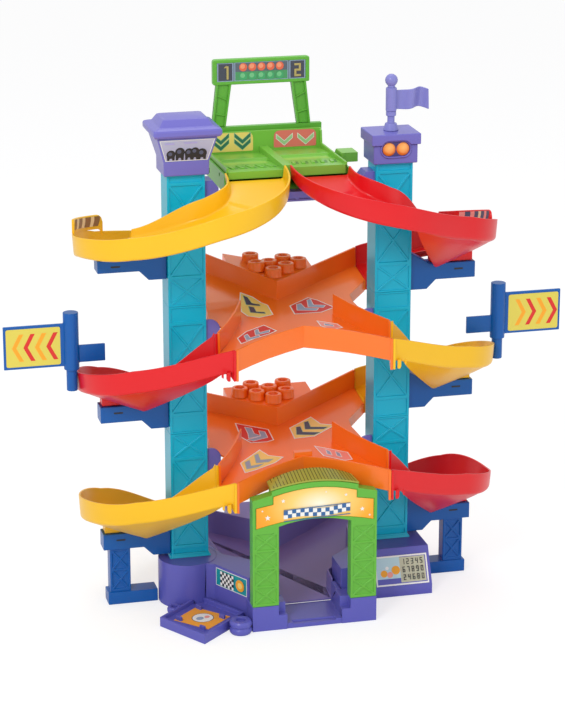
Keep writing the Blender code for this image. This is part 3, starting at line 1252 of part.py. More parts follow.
def make_gantry(green):
    """The gantry over the start: two splayed legs, a sign box and its lamp panel."""
    front, back = FRAME_REAR_Y, FRAME_REAR_Y + GANTRY_DEPTH
    low = FRAME_REAR_TOP + GAP
    foot_in, head_in = GANTRY_FOOT - GANTRY_LEG - 0.004, GANTRY_HEAD - GANTRY_LEG
    into = GANTRY_SIGN_LOW + 0.0015
    box = block((-GANTRY_SIGN_HALF, front, GANTRY_SIGN_LOW), (GANTRY_SIGN_HALF, back, GANTRY_TOP))
    gantry = add_object("gantry", box, green)
    legs = [upright([[(side * GANTRY_FOOT, low), (side * foot_in, low), (side * head_in, into),
                      (side * GANTRY_HEAD, into)]], front + 0.0004, back - 0.0004) for side, word in SIDES]
    join(gantry, together(*legs))
    half, low, high = GANTRY_SIGN_HALF - 0.003, GANTRY_SIGN_LOW + 0.003, GANTRY_TOP - 0.003
    cut(gantry, block((-half, front - 0.002, low), (half, front + 0.0016, high)))
    edge = 0.0006
    panel = block((-half + edge, front + 0.0004, low + edge), (half - edge, front + 0.0016 - GAP, high - edge))
    add_object("gantry_panel", panel, plastic("pale_print", PALE, 0.4))


def frustum(half_low, depth_low, z_low, half_high, depth_high, z_high, centre_x, centre_y=0.0):
    """A tapered box between two level rectangles."""
    shape = bmesh.new()
    bmesh.ops.create_cube(shape, size=2.0)
    for vertex in shape.verts:
        high = vertex.co.z > 0
        vertex.co.x = centre_x + vertex.co.x * (half_high if high else half_low)
        vertex.co.y = centre_y + vertex.co.y * (depth_high if high else depth_low)
        vertex.co.z = z_high if high else z_low
    return shape


def make_left_cap():
    """The spectators' box on the left tower: a flared body, a window panel and a stepped roof."""
    violet = plastic("violet_plastic", VIOLET)
    x = -TOWER_X
    bottom = TOWER_TOP + GAP
    body = add_object("spectator_box", frustum(BOX_WAIST, 0.026, bottom, BOX_WAIST, 0.026, BOX_SILL + 0.0004, x), violet)
    join(body, frustum(BOX_WAIST, 0.026, BOX_SILL, BOX_HALF, 0.034, BOX_HEAD, x))
    lean = Vector((0.0, -0.034 + 0.026, BOX_HEAD - BOX_SILL))
    place = facing((x, -0.026, BOX_SILL), (1, 0, 0), lean)
    height = lean.length
    window = [(-BOX_WAIST + 0.003, 0.0015), (BOX_WAIST - 0.003, 0.0015), (BOX_HALF - 0.004, height - 0.003),
              (-BOX_HALF + 0.004, height - 0.003)]
    cut(body, prism([window], -0.0015, 0.004, place))
    pane = shrink(window, 0.0006)
    add_object("box_window", prism([pane], -0.0015 + GAP, -0.0003, place), plastic("pale_print", PALE, 0.4))
    seat = BOX_HEAD + GAP
    roof = add_object("box_roof", frustum(ROOF_HALF - 0.002, 0.040, seat, ROOF_HALF, 0.0385, seat + 0.006, x), violet)
    join(roof, frustum(ROOF_HALF, 0.0385, seat + 0.0058, ROOF_HALF - 0.006, 0.031, ROOF_EDGE + 0.003, x))
    join(roof, frustum(ROOF_HALF - 0.011, 0.027, ROOF_EDGE + 0.002, ROOF_HALF - 0.014, 0.024, ROOF_TOP, x))


def make_right_cap():
    """The lamp cap on the right tower, its roof, its two lamps, the pole and the turning flag."""
    violet = plastic("violet_plastic", VIOLET)
    x = TOWER_X
    bottom = TOWER_TOP + GAP
    half = LAMP_CAP_HALF
    body = add_object("lamp_cap", block((x - half, -0.026, bottom), (x + half, 0.026, LAMP_CAP_TOP)), violet)
    roof_low = LAMP_CAP_TOP
    collar_block = block((x - LAMP_ROOF_HALF, -0.030, roof_low + GAP), (x + LAMP_ROOF_HALF, 0.030, LAMP_ROOF_TOP))
    roof = add_object("lamp_cap_roof", collar_block, violet)
    ends = arc((x + LAMP_SPACING / 2 + 0.001, LAMP_Z), LAMP_RADIUS + 0.0015, -90, 90, 8)
    ends += arc((x - LAMP_SPACING / 2 - 0.001, LAMP_Z), LAMP_RADIUS + 0.0015, 90, 270, 8)
    cut(body, upright([ends], -0.040, -0.0235))
    cut(roof, upright([ends], -0.040, -0.0235))
    for step, word in SIDES:
        lamp_x = x + step * LAMP_SPACING / 2
        lamp = rod((lamp_x, -0.0235 - GAP, LAMP_Z), (lamp_x, -0.0262, LAMP_Z), LAMP_RADIUS, 18, LAMP_RADIUS * 0.8)
        smooth_round(add_object("lamp_lens_" + word, lamp, plastic("amber_lens", AMBER, 0.2)))
    seat = LAMP_ROOF_TOP
    pole = add_object("flag_pole", rod((x, 0, seat + GAP), (x, 0, POLE_TOP - 0.002), POLE_RADIUS, 16), violet)
    join(pole, rod((x, 0, seat + GAP), (x, 0, seat + 0.010), POLE_BALL, 16, POLE_BALL * 0.75))
    join(pole, rod((x, 0, FLAG_LOW - 0.0065), (x, 0, FLAG_LOW - GAP), POLE_RADIUS + 0.002, 16))
    join(pole, ball((x, 0, POLE_TOP), 0.0088))
    smooth_round(pole)
    sleeve = rod((x, 0, FLAG_LOW), (x, 0, FLAG_HIGH - 0.0012), FLAG_SLEEVE, 16)
    flag = add_object("flag", sleeve, violet)
    steps = 10
    line = []
    for i in range(steps + 1):
        u = i / steps
        line.append((x + FLAG_SLEEVE - 0.0015 + u * FLAG_LENGTH, 0.0042 * math.sin(2 * math.pi * u) * u ** 0.5))
    join(flag, prism([band(line, 0.0028)], FLAG_LOW + 0.0008, FLAG_HIGH - 0.002))
    cut(flag, rod((x, 0, FLAG_LOW - 0.01), (x, 0, FLAG_HIGH + 0.001), POLE_RADIUS + GAP, 16))
    smooth_round(flag)


def make_signs():
    """The two side signs: a post clipped to a middle U-turn and a paddle sign that turns on it."""
    blue = plastic("blue_plastic", BLUE)
    for side, word in SIDES:
        x = side * SIGN_X
        post = add_object("sign_post_" + word, rod((x, SIGN_Y, SIGN_CLIP_LOW), (x, SIGN_Y, SIGN_LOW - GAP),
                                                   SIGN_RADIUS * 0.72, 16), blue)
        join(post, rod((x, SIGN_Y, SIGN_LOW - 0.012), (x, SIGN_Y, SIGN_HIGH - 0.006), SIGN_BORE - GAP, 12))
        reach = SIGN_X - (TURN_X + TURN_RADIUS + LANE_SHELL + GAP * 2)
        clip = block((x - side * reach, SIGN_Y - 0.005, SIGN_CLIP_LOW + 0.002), (x, SIGN_Y + 0.005, SIGN_LOW - 0.0135))
        join(post, clip)
        smooth_round(post)
        rotor = add_object("sign_" + word, rod((x, SIGN_Y, SIGN_LOW), (x, SIGN_Y, SIGN_HIGH), SIGN_RADIUS, 18), blue)
        plate = block((x + side * (SIGN_RADIUS - 0.002), SIGN_Y - PLATE_THICK / 2, PLATE_LOW),
                      (side * PLATE_END, SIGN_Y + PLATE_THICK / 2, PLATE_HIGH))
        join(rotor, plate)
        paddle = block((side * PADDLE_END, SIGN_Y - PLATE_THICK / 2, PADDLE_LOW),
                       (x - side * (SIGN_RADIUS - 0.002), SIGN_Y + PLATE_THICK / 2, PADDLE_HIGH))
        join(rotor, paddle)
        cut(rotor, rod((x, SIGN_Y, SIGN_LOW - 0.01), (x, SIGN_Y, SIGN_HIGH - 0.004), SIGN_BORE, 12))
        smooth_round(rotor)


def make_tracks():
    """The two top ramps, the four U-turns and the two crossings."""
    yellow, red = plastic("yellow_plastic", YELLOW), plastic("red_plastic", RED)
    make_ramp("top_ramp_left", -1, ARM_TOP_LEFT, LEFT_BOWL, (12, 62, ARM_TOP_LEFT + LEFT_FIN_RISE, 0.19), yellow)
    make_ramp("top_ramp_right", 1, ARM_TOP_RIGHT, RIGHT_BOWL, (3, 60, ARM_TOP_RIGHT + RIGHT_FIN_RISE, 0.245), red)
    make_turn("turn_middle_left", -1, UPPER_DECK, red)
    make_turn("turn_middle_right", 1, UPPER_DECK, yellow)
    make_turn("turn_lower_left", -1, LOWER_DECK, yellow)
    make_turn("turn_lower_right", 1, LOWER_DECK, red)
    make_crossing("crossing_upper", UPPER_DECK, 1, False, WING_LIFT)
    make_crossing("crossing_lower", LOWER_DECK, -1, True, 0.0)


def make_arms():
    """Three arms on each tower."""
    make_arm("arm_upper_left", -1, ARM_TOP_LEFT, ARM_THICK_LEFT, False)
    make_arm("arm_upper_right", 1, ARM_TOP_RIGHT, ARM_THICK, False)
    for side, word in SIDES:
        make_arm("arm_middle_" + word, side, arm_height(UPPER_DECK), ARM_THICK, False)
        make_arm("arm_lower_" + word, side, arm_height(LOWER_DECK), ARM_THICK, True)


clear_scene()
MODEL = bpy.data.collections.new("toy_parking_garage")
CUTTERS = bpy.data.collections.new("cutters")
bpy.context.scene.collection.children.link(MODEL)
bpy.context.scene.collection.children.link(CUTTERS)
make_base()
make_towers()
make_arms()
make_brackets()
make_tracks()
make_arch()
make_launcher()
make_left_cap()
make_right_cap()
make_signs()
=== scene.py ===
"""Looks of the toy parking garage: moulded plastics, smooth lanes, stickers, floor, light and camera.

Frame: X to the viewer's right, Y to the back, Z up, in metres, as in the CAD source.
"""
import math

import bmesh
import bpy
import numpy as np
from mathutils import Matrix, Vector


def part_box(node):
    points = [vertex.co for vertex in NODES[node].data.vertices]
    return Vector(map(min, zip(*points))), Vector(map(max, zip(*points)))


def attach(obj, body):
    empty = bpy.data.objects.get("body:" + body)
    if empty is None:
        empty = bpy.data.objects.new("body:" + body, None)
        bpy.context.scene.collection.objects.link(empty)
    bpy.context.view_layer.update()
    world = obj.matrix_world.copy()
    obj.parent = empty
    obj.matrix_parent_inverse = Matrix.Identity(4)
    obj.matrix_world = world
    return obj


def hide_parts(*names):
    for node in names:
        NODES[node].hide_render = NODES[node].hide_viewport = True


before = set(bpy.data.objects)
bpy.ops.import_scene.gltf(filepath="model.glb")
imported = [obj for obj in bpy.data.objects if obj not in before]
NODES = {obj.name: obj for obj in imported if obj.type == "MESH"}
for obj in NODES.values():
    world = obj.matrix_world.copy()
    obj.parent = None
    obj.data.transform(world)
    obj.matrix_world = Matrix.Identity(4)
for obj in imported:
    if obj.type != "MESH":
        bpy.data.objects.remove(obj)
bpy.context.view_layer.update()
SCENE = bpy.context.scene
SIDES = ((-1, "left"), (1, "right"))

# Sizes that the lanes, decks and towers share with the CAD source
GAP = 0.0003
BASE_DECK = 0.0236
STORY = 0.186
LOWER_DECK = BASE_DECK + STORY
UPPER_DECK = LOWER_DECK + STORY
DECK_SLOPE = 0.148
TOWER_X = 0.145
TOWER_WIDTH = 0.052
TOWER_DEPTH = 0.041
TOWER_BOTTOM = 0.0646
RIM = 0.029
LANE_SHELL = 0.0028
DRAFT = 0.002
BOWL_SAG = 0.003
FRONT_OUTER = (0.108, -0.148)
FRONT_INNER = (0.120, -0.096)
REAR_OUTER = (0.142, 0.160)
REAR_INNER = (0.142, 0.108)
OUTER_TRIM = (0.0018, 0.0018)
INNER_TRIM = (0.0052, 0.0046)
COLLAR = 0.0034
COLLAR_DROP = 0.014
TURN_X = 0.193
TURN_RADIUS = 0.100
POST_X = 0.213
POST = (POST_X, 0.0)
POST_RADIUS = 0.009
TURN_WALL = 0.029
TURN_DROP = 0.0776
ARM_BASE_TOP = 0.105
ARM_TOP_LEFT = UPPER_DECK + 0.1019
ARM_TOP_RIGHT = UPPER_DECK + 0.0679
ARM_END = 0.266
ARM_DEPTH = 0.027
LAUNCH_FLOOR = 0.606
LAUNCH_FALL = 0.07
LAUNCH_HALF = 0.0845
LAUNCH_BACK = 0.142
RAMP_START = 0.594
RAMP_START_Y = -0.0024
RAMP_INNER_X = 0.0055
RAMP_BEND = (0.120, -0.143)
RAMP_ELBOW = (0.130, -0.058)
VEE_TIP_Y = 0.060
FOLD_EDGE = (0.1045, 0.040)
WING_LIFT = 0.033
FINE = 4                # points for each one of the CAD source along a lane
PRINT_LIFT = 0.00022    # height of a print above its surface
PRINT_STEP = 0.00003    # and of each shape in it above the one before
FLOOR_HALF = 30.0
FLOOR_SHARE = 0.55      # part of the floor's look that is its own white
FLOOR_GLOW = 1.18
SKY_LIGHT = 0.78
LAMPS = (("key", (-1.5, -1.9, 2.2), (0, 0, 0.3), 0.9, 28.0), ("fill", (1.7, -2.2, 1.0), (0, 0, 0.35), 1.6, 6.0),
         ("top", (0.2, 0.7, 2.4), (0, 0, 0.3), 1.4, 10.0))
CAMERA_AZIMUTH = -14.0906
CAMERA_ELEVATION = 17.4796
CAMERA_LENS = 125.636
CAMERA_PLACE = (-0.8156, -3.2211, 1.3815)

# Strips of a gantry leg: start of the foot line at either edge, height, both edges, thickness
GANTRY_LEG = ((0, 0, 1, 0, 1, 0.0062), (0, 0, 1, 0.0, 0.14, 0.0096), (0, 0, 1, 0.86, 1.0, 0.0096),
              (0.30, 0.24, 0.035, 0.12, 0.88, 0.0086), (0.72, 0.60, 0.035, 0.12, 0.88, 0.0086))

# CAD pieces by the start of their name: plastic, edge radius, flat faces joined, shaded smooth; the last match holds
FINISHES = (
    ("tower_", "teal", 0.0006, True, True),
    ("arm_", "blue", 0.0009, True, True),
    ("bracket_", "violet", 0.0006, True, True),
    ("top_beam", "violet", 0.0, False, False),
    (("base_", "exit_frame", "pit_tray", "tyre_"), "base_violet", 0.0007, True, True),
    ("base_deck", "deck_violet", 0.0007, True, False),
    ("crossing_", "orange", 0.0004, False, True),
    ("arch", "green", 0.0006, True, True),
    ("arch_roof", "olive", 0.0004, True, True),
    ("arch_banner", "banner", 0.0006, True, False),
    ("launcher_frame", "green", 0.0, False, False),
    ("release_lever", "light_green", 0.0006, True, True),
    (("spectator_box", "box_roof", "lamp_cap"), "violet", 0.0014, True, True),
    ("flag", "flag_violet", 0.0006, True, True),
    ("sign_", "blue", 0.0007, True, True),
    ("scoreboard_panel", "white", 0.0, False, False),
    ("box_window", "window", 0.0, False, False),
    ("lamp_lens_left", "lamp_left", 0.0, False, False),
    ("lamp_lens_right", "lamp_right", 0.0, False, False),
)


# Colours and materials

def linear(red, green, blue):
    """Linear colour from 0-255 display values."""
    values = [v / 255 for v in (red, green, blue)]
    return tuple(v / 12.92 if v <= 0.04045 else ((v + 0.055) / 1.055) ** 2.4 for v in values) + (1.0,)


def new_material(name, roughness):
    """A material with its node tree and its shader."""
    material = bpy.data.materials.new(name)
    material.use_nodes = True
    tree = material.node_tree
    shader = tree.nodes["Principled BSDF"]
    shader.inputs["Roughness"].default_value = roughness
    return material, tree, shader


def add(tree, kind, values=(), links=()):
    """A shader node with (socket, value) and (socket, output) pairs set on its inputs."""
    made = tree.nodes.new("ShaderNode" + kind)
    for socket, value in values:
        made.inputs[socket].default_value = value
    for socket, output in links:
        tree.links.new(output, made.inputs[socket])
    return made


def noise(tree, scale, detail=3.0):
    """A noise value in the piece's own coordinates."""
    coords = add(tree, "TexCoord")
    texture = add(tree, "TexNoise", [("Scale", scale), ("Detail", detail)], [("Vector", coords.outputs["Object"])])
    return texture.outputs["Fac"]


def plastic(name, colour, roughness=0.32, tone=0.08, coat=0.10, bump=0.04):
    """Moulded plastic: an even colour with a faint cloudiness and a fine skin."""
    material, tree, shader = new_material(name, roughness)
    base = linear(*colour)
    mix = add(tree, "Mix")
    mix.data_type = "RGBA"
    mix.inputs["A"].default_value = base
    mix.inputs["B"].default_value = tuple(c * (1 - tone) for c in base[:3]) + (1.0,)
    tree.links.new(noise(tree, 14.0), mix.inputs["Factor"])
    tree.links.new(mix.outputs["Result"], shader.inputs["Base Color"])
    skin = add(tree, "Bump", [("Strength", bump), ("Distance", 0.0004)], [("Height", noise(tree, 900.0, 1.0))])
    tree.links.new(skin.outputs["Normal"], shader.inputs["Normal"])
    shader.inputs["Specular IOR Level"].default_value = 0.35
    shader.inputs["Coat Weight"].default_value = coat
    shader.inputs["Coat Roughness"].default_value = 0.12
    return material


def glow(name, stops, centre, reach, roughness=0.35):
    """A colour that runs through stops with the distance from a point: a print on the window and the banner, a
    painted glow on the lamp domes.
    """
    material, tree, shader = new_material(name, roughness)
    shift = add(tree, "VectorMath", [(1, centre)], [(0, add(tree, "TexCoord").outputs["Object"])])
    shift.operation = "SUBTRACT"
    size = add(tree, "VectorMath", [(1, reach)], [(0, shift.outputs["Vector"])])
    size.operation = "DIVIDE"
    length = add(tree, "VectorMath", (), [(0, size.outputs["Vector"])])
    length.operation = "LENGTH"
    ramp = add(tree, "ValToRGB", (), [("Fac", length.outputs["Value"])])
    elements = ramp.color_ramp.elements
    for index, (place, colour) in enumerate(stops):
        element = elements[index] if index < 2 else elements.new(place)
        element.position = place
        element.color = linear(*colour)
    tree.links.new(ramp.outputs["Color"], shader.inputs["Base Color"])
    return material


PALETTE = {
    "teal": (0, 186, 220),
    "blue": (0, 90, 172),
    "violet": (116, 112, 198),
    "flag_violet": (136, 136, 206),
    "base_violet": (94, 94, 186),
    "deck_violet": (130, 118, 188),
    "yellow": (250, 194, 24),
    "red": (228, 20, 28),
    "orange": (250, 96, 28),
    "green": (102, 184, 62),
    "light_green": (126, 194, 70),
    "olive": (166, 170, 66),
}
MATERIALS = {name: plastic(name + "_plastic", colour) for name, colour in PALETTE.items()}
MATERIALS["orange"] = plastic("orange_deck_plastic", (255, 120, 26), 0.30, 0.06, 0.40, 0.03)
PRINTS = {
    "white": (244, 244, 240),
    "pale_yellow": (250, 218, 120),
    "sign_yellow": (226, 210, 88),
    "ink": (66, 74, 104),
    "leaf_ink": (52, 118, 96),
    "mint": (168, 206, 150),
    "scarlet": (222, 48, 40),
    "rose": (238, 120, 110),
    "pink": (246, 160, 150),
    "steel": (150, 170, 200),
    "amber": (250, 170, 40),
    "brown": (150, 112, 70),
    "cream": (240, 214, 170),
    "dark": (40, 44, 52),
    "slate": (84, 92, 120),
    "sky": (190, 222, 232),
    "teal_print": (0, 150, 160),
    "tile_line": (70, 74, 18),
    "lamp_red": (236, 110, 78),
    "lamp_green": (72, 172, 112),
    "speckle": (196, 196, 170),
    "pale_violet": (176, 170, 226),
    # Darker green for the painted shadows beside the start tray's ribs
    "painted_rib_shadow_green": (74, 142, 44),
    "pale_lime": (160, 206, 84),
    "panel_grey": (104, 122, 126),
    "frame_blue": (150, 170, 200),
    "slate_dark": (74, 78, 92),
    "panel_green": (80, 160, 104),
    "panel_mauve": (96, 108, 120),
    # Lighter discs for the painted highlights on the gantry's printed lamps
    "lamp_red_light": (250, 160, 120),
    "lamp_green_light": (120, 200, 140),
    "figure_gold": (186, 170, 104),
    # Dark violet for the painted shade in the recess round the cap's lamps
    "painted_shade_violet": (70, 60, 120),
    "banner_blue": (54, 104, 160),
}
for print_name, print_colour in PRINTS.items():
    MATERIALS[print_name] = plastic(print_name, print_colour, 0.42, 0.05, 0.1, 0.02)
MATERIALS["window"] = glow("window_print", ((0.0, (152, 158, 198)), (1.0, (192, 196, 218))),
                           (-TOWER_X, -0.030, 0.632), (0.09, 1.0, 0.045))
MATERIALS["banner"] = glow("banner_print", ((0.0, (255, 250, 226)), (0.42, (255, 214, 120)), (0.8, (252, 176, 44)),
                                            (1.0, (250, 160, 30))), (0.006, -0.153, 0.178), (0.092, 1.0, 0.052))
# Lamp domes: painted glow, pale in the middle and deeper orange towards the rim
for lamp_x, lamp_word in ((TOWER_X - 0.00985, "left"), (TOWER_X + 0.00985, "right")):
    MATERIALS["lamp_" + lamp_word] = glow("lamp_" + lamp_word, ((0.0, (255, 196, 110)), (0.6, (252, 168, 80)),
                                                                (1.0, (226, 120, 44))),
                                          (lamp_x, -0.026, 0.6335), (0.009, 1.0, 0.009), 0.18)


# Small geometry helpers

def outward(shape):
    """Turn the faces of a closed shape out."""
    if shape.calc_volume(signed=True) < 0:
        bmesh.ops.reverse_faces(shape, faces=shape.faces)
    return shape


def mirror(shape, side):
    """Mirror a shape in X for the left side."""
    if side < 0:
        shape.transform(Matrix.Diagonal((-1, 1, 1, 1)))
        bmesh.ops.reverse_faces(shape, faces=shape.faces)
    return shape


def facing(origin, u_axis, v_axis):
    """A frame whose u and v axes are given."""
    u_axis, v_axis = Vector(u_axis).normalized(), Vector(v_axis).normalized()
    turn = Matrix((u_axis, v_axis, u_axis.cross(v_axis))).transposed().to_4x4()
    return Matrix.Translation(origin) @ turn


def upright(y, x=0.0, z=0.0):
    """A frame for drawing in X and Z on a plane that faces the front."""
    return facing((x, y, z), (1, 0, 0), (0, 0, 1))


def deck(level, slope=DECK_SLOPE):
    """A frame for drawing in plan on a tilted deck."""
    tilt = Matrix.Identity(4)
    tilt[2][1] = slope
    return Matrix.Translation((0.0, 0.0, level)) @ tilt


def fold_rate():
    """Slope in plan of the fold line of the upper crossing's left rear arm."""
    return (VEE_TIP_Y - FOLD_EDGE[1]) / FOLD_EDGE[0]


def wing_lift(x, y):
    """Extra height of the upper crossing's left rear arm at a plan point."""
    full = REAR_OUTER[1] - VEE_TIP_Y + fold_rate() * REAR_OUTER[0]
    behind = (y - VEE_TIP_Y - fold_rate() * x) / full
    return WING_LIFT * max(0.0, min(behind, -x / REAR_OUTER[0]))


def folded(shape):
    """Bend flat prints on the upper crossing up along the fold of its left rear arm."""
    for normal in ((1.0, 0.0, 0.0), (-fold_rate(), 1.0, 0.0)):
        bmesh.ops.bisect_plane(shape, geom=[*shape.faces, *shape.edges, *shape.verts], plane_co=(0, VEE_TIP_Y, 0),
                               plane_no=normal, dist=1e-6)
    for point in shape.verts:
        point.co.z += wing_lift(point.co.x, point.co.y)


def loft(rings, ends=(-1, 1)):
    """A skin through rings of points, its end faces wound as ends says; with no ends it closes on itself."""
    shape = bmesh.new()
    rings = [[shape.verts.new(point) for point in ring] for ring in rings]
    count = len(rings[0])
    for one, two in zip(rings, rings[1:] if ends else rings[1:] + rings[:1]):
        for j in range(count):
            k = (j + 1) % count
            shape.faces.new((one[j], one[k], two[k], two[j]))
    if ends:
        shape.faces.new(rings[0][::ends[0]])
        shape.faces.new(rings[-1][::ends[1]])
    return outward(shape)


def slab(outline, place, low, high):
    """A flat outline extruded between two levels of a frame."""
    return loft([[place @ Vector((u, v, w)) for u, v in outline] for w in (low, high)])


def lathe(profile, centre, sides=48, axis=None):
    """A closed round shape from (radius, height) points that start and end on the axis or close up."""
    shape = bmesh.new()
    rings = []
    for radius, height in profile:
        if radius < 1e-6:
            rings.append([shape.verts.new((0, 0, height))])
        else:
            rings.append([shape.verts.new((radius * math.cos(a), radius * math.sin(a), height))
                          for a in np.linspace(0, 2 * math.pi, sides, endpoint=False)])
    for one, two in zip(rings, rings[1:]):
        for i in range(sides):
            j = (i + 1) % sides
            corners = [one[i % len(one)], one[j % len(one)], two[j % len(two)], two[i % len(two)]]
            unique = list(dict.fromkeys(corners))
            if len(unique) > 2:
                shape.faces.new(unique)
    if axis is not None:
        shape.transform(Vector(axis).to_track_quat("Z", "Y").to_matrix().to_4x4())
    shape.transform(Matrix.Translation(centre))
    return outward(shape)


def merged(*shapes):
    """Several shapes in one mesh."""
    whole = bmesh.new()
    for shape in shapes:
        mesh = bpy.data.meshes.new("piece")
        shape.to_mesh(mesh)
        shape.free()
        whole.from_mesh(mesh)
        bpy.data.meshes.remove(mesh)
    return whole


def soften(piece, width):
    """Round the sharp edges of a piece."""
    bevel = piece.modifiers.new("Edges", "BEVEL")
    bevel.width = width
    bevel.segments = 2
    bevel.limit_method = "ANGLE"
    bevel.angle_limit = math.radians(32)
    bevel.use_clamp_overlap = False
    piece.modifiers.new("Shading", "WEIGHTED_NORMAL").keep_sharp = True


def show(name, shape, keys, body):
    """Put a shape in the scene as a piece that rides on a body."""
    mesh = bpy.data.meshes.new(name)
    shape.to_mesh(mesh)
    shape.free()
    for key in keys:
        mesh.materials.append(MATERIALS[key])
    piece = bpy.data.objects.new(name, mesh)
    SCENE.collection.objects.link(piece)
    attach(piece, body)
    return piece


def put(name, shape, material, body="frame", bevel=0.0, sharp=35.0, swaps=()):
    """Add a moulded shape, with its edges softened or kept crisp, in place of the CAD pieces it swaps."""
    piece = show(name, shape, material if isinstance(material, list) else [material], body)
    piece.data.shade_smooth()
    if bevel:
        soften(piece, bevel)
    else:
        piece.data.set_sharp_from_angle(angle=math.radians(sharp))
    if swaps:
        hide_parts(*swaps)


def print_on(name, items, place, body="frame", lift=PRINT_LIFT, bend=False):
    """Printed shapes on a surface: (colour, outline) pairs, each a hair above the one before."""
    shape = bmesh.new()
    names = list(dict.fromkeys(colour for colour, outline in items))
    for index, (colour, outline) in enumerate(items):
        points = outline if area_of(outline) > 0 else outline[::-1]
        level = lift + index * PRINT_STEP
        face = shape.faces.new([shape.verts.new(place @ Vector((u, v, level))) for u, v in points])
        face.material_index = names.index(colour)
    if bend:
        folded(shape)
    show(name, shape, names, body)


def area_of(outline):
    """Twice the area of an outline, positive where it runs anticlockwise."""
    return sum(a[0] * b[1] - b[0] * a[1] for a, b in zip(outline, outline[1:] + outline[:1]))


def rect(u0, v0, u1, v1):
    """Corners of a rectangle."""
    return [(u0, v0), (u1, v0), (u1, v1), (u0, v1)]


def round_rect(u0, v0, u1, v1, low, high=None, steps=4):
    """A rectangle with its lower and upper corners rounded."""
    high = low if high is None else high
    return rounded([(*point, radius) for point, radius in zip(rect(u0, v0, u1, v1), (low, low, high, high))], steps)


def sheet(front, back):
    """A closed thin shape between two grids of points with the same rows and columns."""
    shape = bmesh.new()
    rows, columns = len(front), len(front[0])
    near = [[shape.verts.new(point) for point in row] for row in front]
    far = [[shape.verts.new(point) for point in row] for row in back]
    for i in range(rows - 1):
        for j in range(columns - 1):
            shape.faces.new((near[i][j], near[i + 1][j], near[i + 1][j + 1], near[i][j + 1]))
            shape.faces.new((far[i][j], far[i][j + 1], far[i + 1][j + 1], far[i + 1][j]))
    border = [(0, j) for j in range(columns - 1)] + [(i, columns - 1) for i in range(rows - 1)]
    border += [(rows - 1, j) for j in range(columns - 1, 0, -1)] + [(i, 0) for i in range(rows - 1, 0, -1)]
    for a, b in zip(border, border[1:] + border[:1]):
        shape.faces.new((near[a[0]][a[1]], near[b[0]][b[1]], far[b[0]][b[1]], far[a[0]][a[1]]))
    return outward(shape)


def stacked(sections, centre, corner, steps=5):
    """A rounded block from (half width, half depth, height) sections."""
    return loft([[(centre[0] + u, centre[1] + v, z) for u, v in round_rect(-x, -y, x, y, corner, steps=steps)]
                 for x, y, z in sections])


def arc(centre, radius, start, end, steps):
    """Points on an arc, angles in degrees."""
    angles = np.radians(np.linspace(start, end, steps + 1))
    return [(centre[0] + radius * math.cos(a), centre[1] + radius * math.sin(a)) for a in angles]


def bezier(a, b, c, d, steps):
    """Points on a cubic Bezier curve, without its first point."""
    points = []
    for t in np.linspace(0, 1, steps + 1)[1:]:
        weights = ((1 - t) ** 3, 3 * t * (1 - t) ** 2, 3 * t * t * (1 - t), t ** 3)
        points.append(tuple(sum(w * p[i] for w, p in zip(weights, (a, b, c, d))) for i in (0, 1)))
    return points


def straight(a, b, steps):
    """Points from a to b, without the first."""
    return [tuple(a[i] + (b[i] - a[i]) * t for i in (0, 1)) for t in np.linspace(0, 1, steps + 1)[1:]]


def tangent_angle(point, centre, radius, turn):
    """Angle on a circle, in degrees, where the line from a point touches it."""
    dx, dy = point[0] - centre[0], point[1] - centre[1]
    return math.degrees(math.atan2(dy, dx) + turn * math.acos(radius / math.hypot(dx, dy)))


def eased(stations, values, wanted):
    """Smooth curve through values at stations that never overshoots them."""
    stations, values = np.array(stations, float), np.array(values, float)
    wanted = np.array(wanted, float)
    widths = np.diff(stations)
    slopes = np.diff(values) / widths
    tangents = np.empty_like(values)
    tangents[0], tangents[-1] = slopes[0], slopes[-1]
    for i in range(1, len(slopes)):
        product = slopes[i - 1] * slopes[i]
        tangents[i] = 2 * product / (slopes[i - 1] + slopes[i]) if product > 0 else 0.0
    cell = np.clip(np.searchsorted(stations, wanted, side="right") - 1, 0, len(widths) - 1)
    h = widths[cell]
    t = (wanted - stations[cell]) / h
    return ((1 + 2 * t) * (1 - t) ** 2 * values[cell] + t * (1 - t) ** 2 * h * tangents[cell]
            + t * t * (3 - 2 * t) * values[cell + 1] + t * t * (t - 1) * h * tangents[cell + 1])


def rounded(points, steps=4):
    """Closed outline from (u, v, radius) corners, with each corner rounded by its own radius."""
    outline = []
    count = len(points)
    for i, (u, v, radius) in enumerate(points):
        here = Vector((u, v))
        if radius <= 0:
            outline.append((u, v))
            continue
        before = Vector(points[i - 1][:2]) - here
        after = Vector(points[(i + 1) % count][:2]) - here
        reach = min(radius, before.length * 0.45, after.length * 0.45)
        a, b = here + before.normalized() * reach, here + after.normalized() * reach
        for t in np.linspace(0, 1, steps + 1):
            point = a * (1 - t) ** 2 + here * 2 * t * (1 - t) + b * t * t
            outline.append((point.x, point.y))
    return outline


# Lanes

def far_side():
    """Outer plan line of a U-turn, from the end of its front straight to the rear junction."""
    centre = (TURN_X, 0.0)
    around = arc(centre, TURN_RADIUS, tangent_angle(FRONT_OUTER, centre, TURN_RADIUS, 1),
                 tangent_angle(REAR_OUTER, centre, TURN_RADIUS, -1), 12 * FINE)
    return around + straight(around[-1], REAR_OUTER, 4 * FINE)


def near_side(start):
    """Inner plan line from an angle on the centre post to the rear junction."""
    close = arc(POST, POST_RADIUS, start, tangent_angle(REAR_INNER, POST, POST_RADIUS, -1), 12 * FINE)
    return close + straight(close[-1], REAR_INNER, 4 * FINE)


def turn_paths():
    """Outer and inner plan lines of a U-turn, and the marks of its sections."""
    around, close = far_side(), near_side(tangent_angle(FRONT_INNER, POST, POST_RADIUS, 1))
    outer = [FRONT_OUTER] + straight(FRONT_OUTER, around[0], 4 * FINE)[:-1] + around
    inner = [FRONT_INNER] + straight(FRONT_INNER, close[0], 4 * FINE)[:-1] + close
    return outer, inner, [m * FINE for m in (0, 4, 10, 16, 20)]


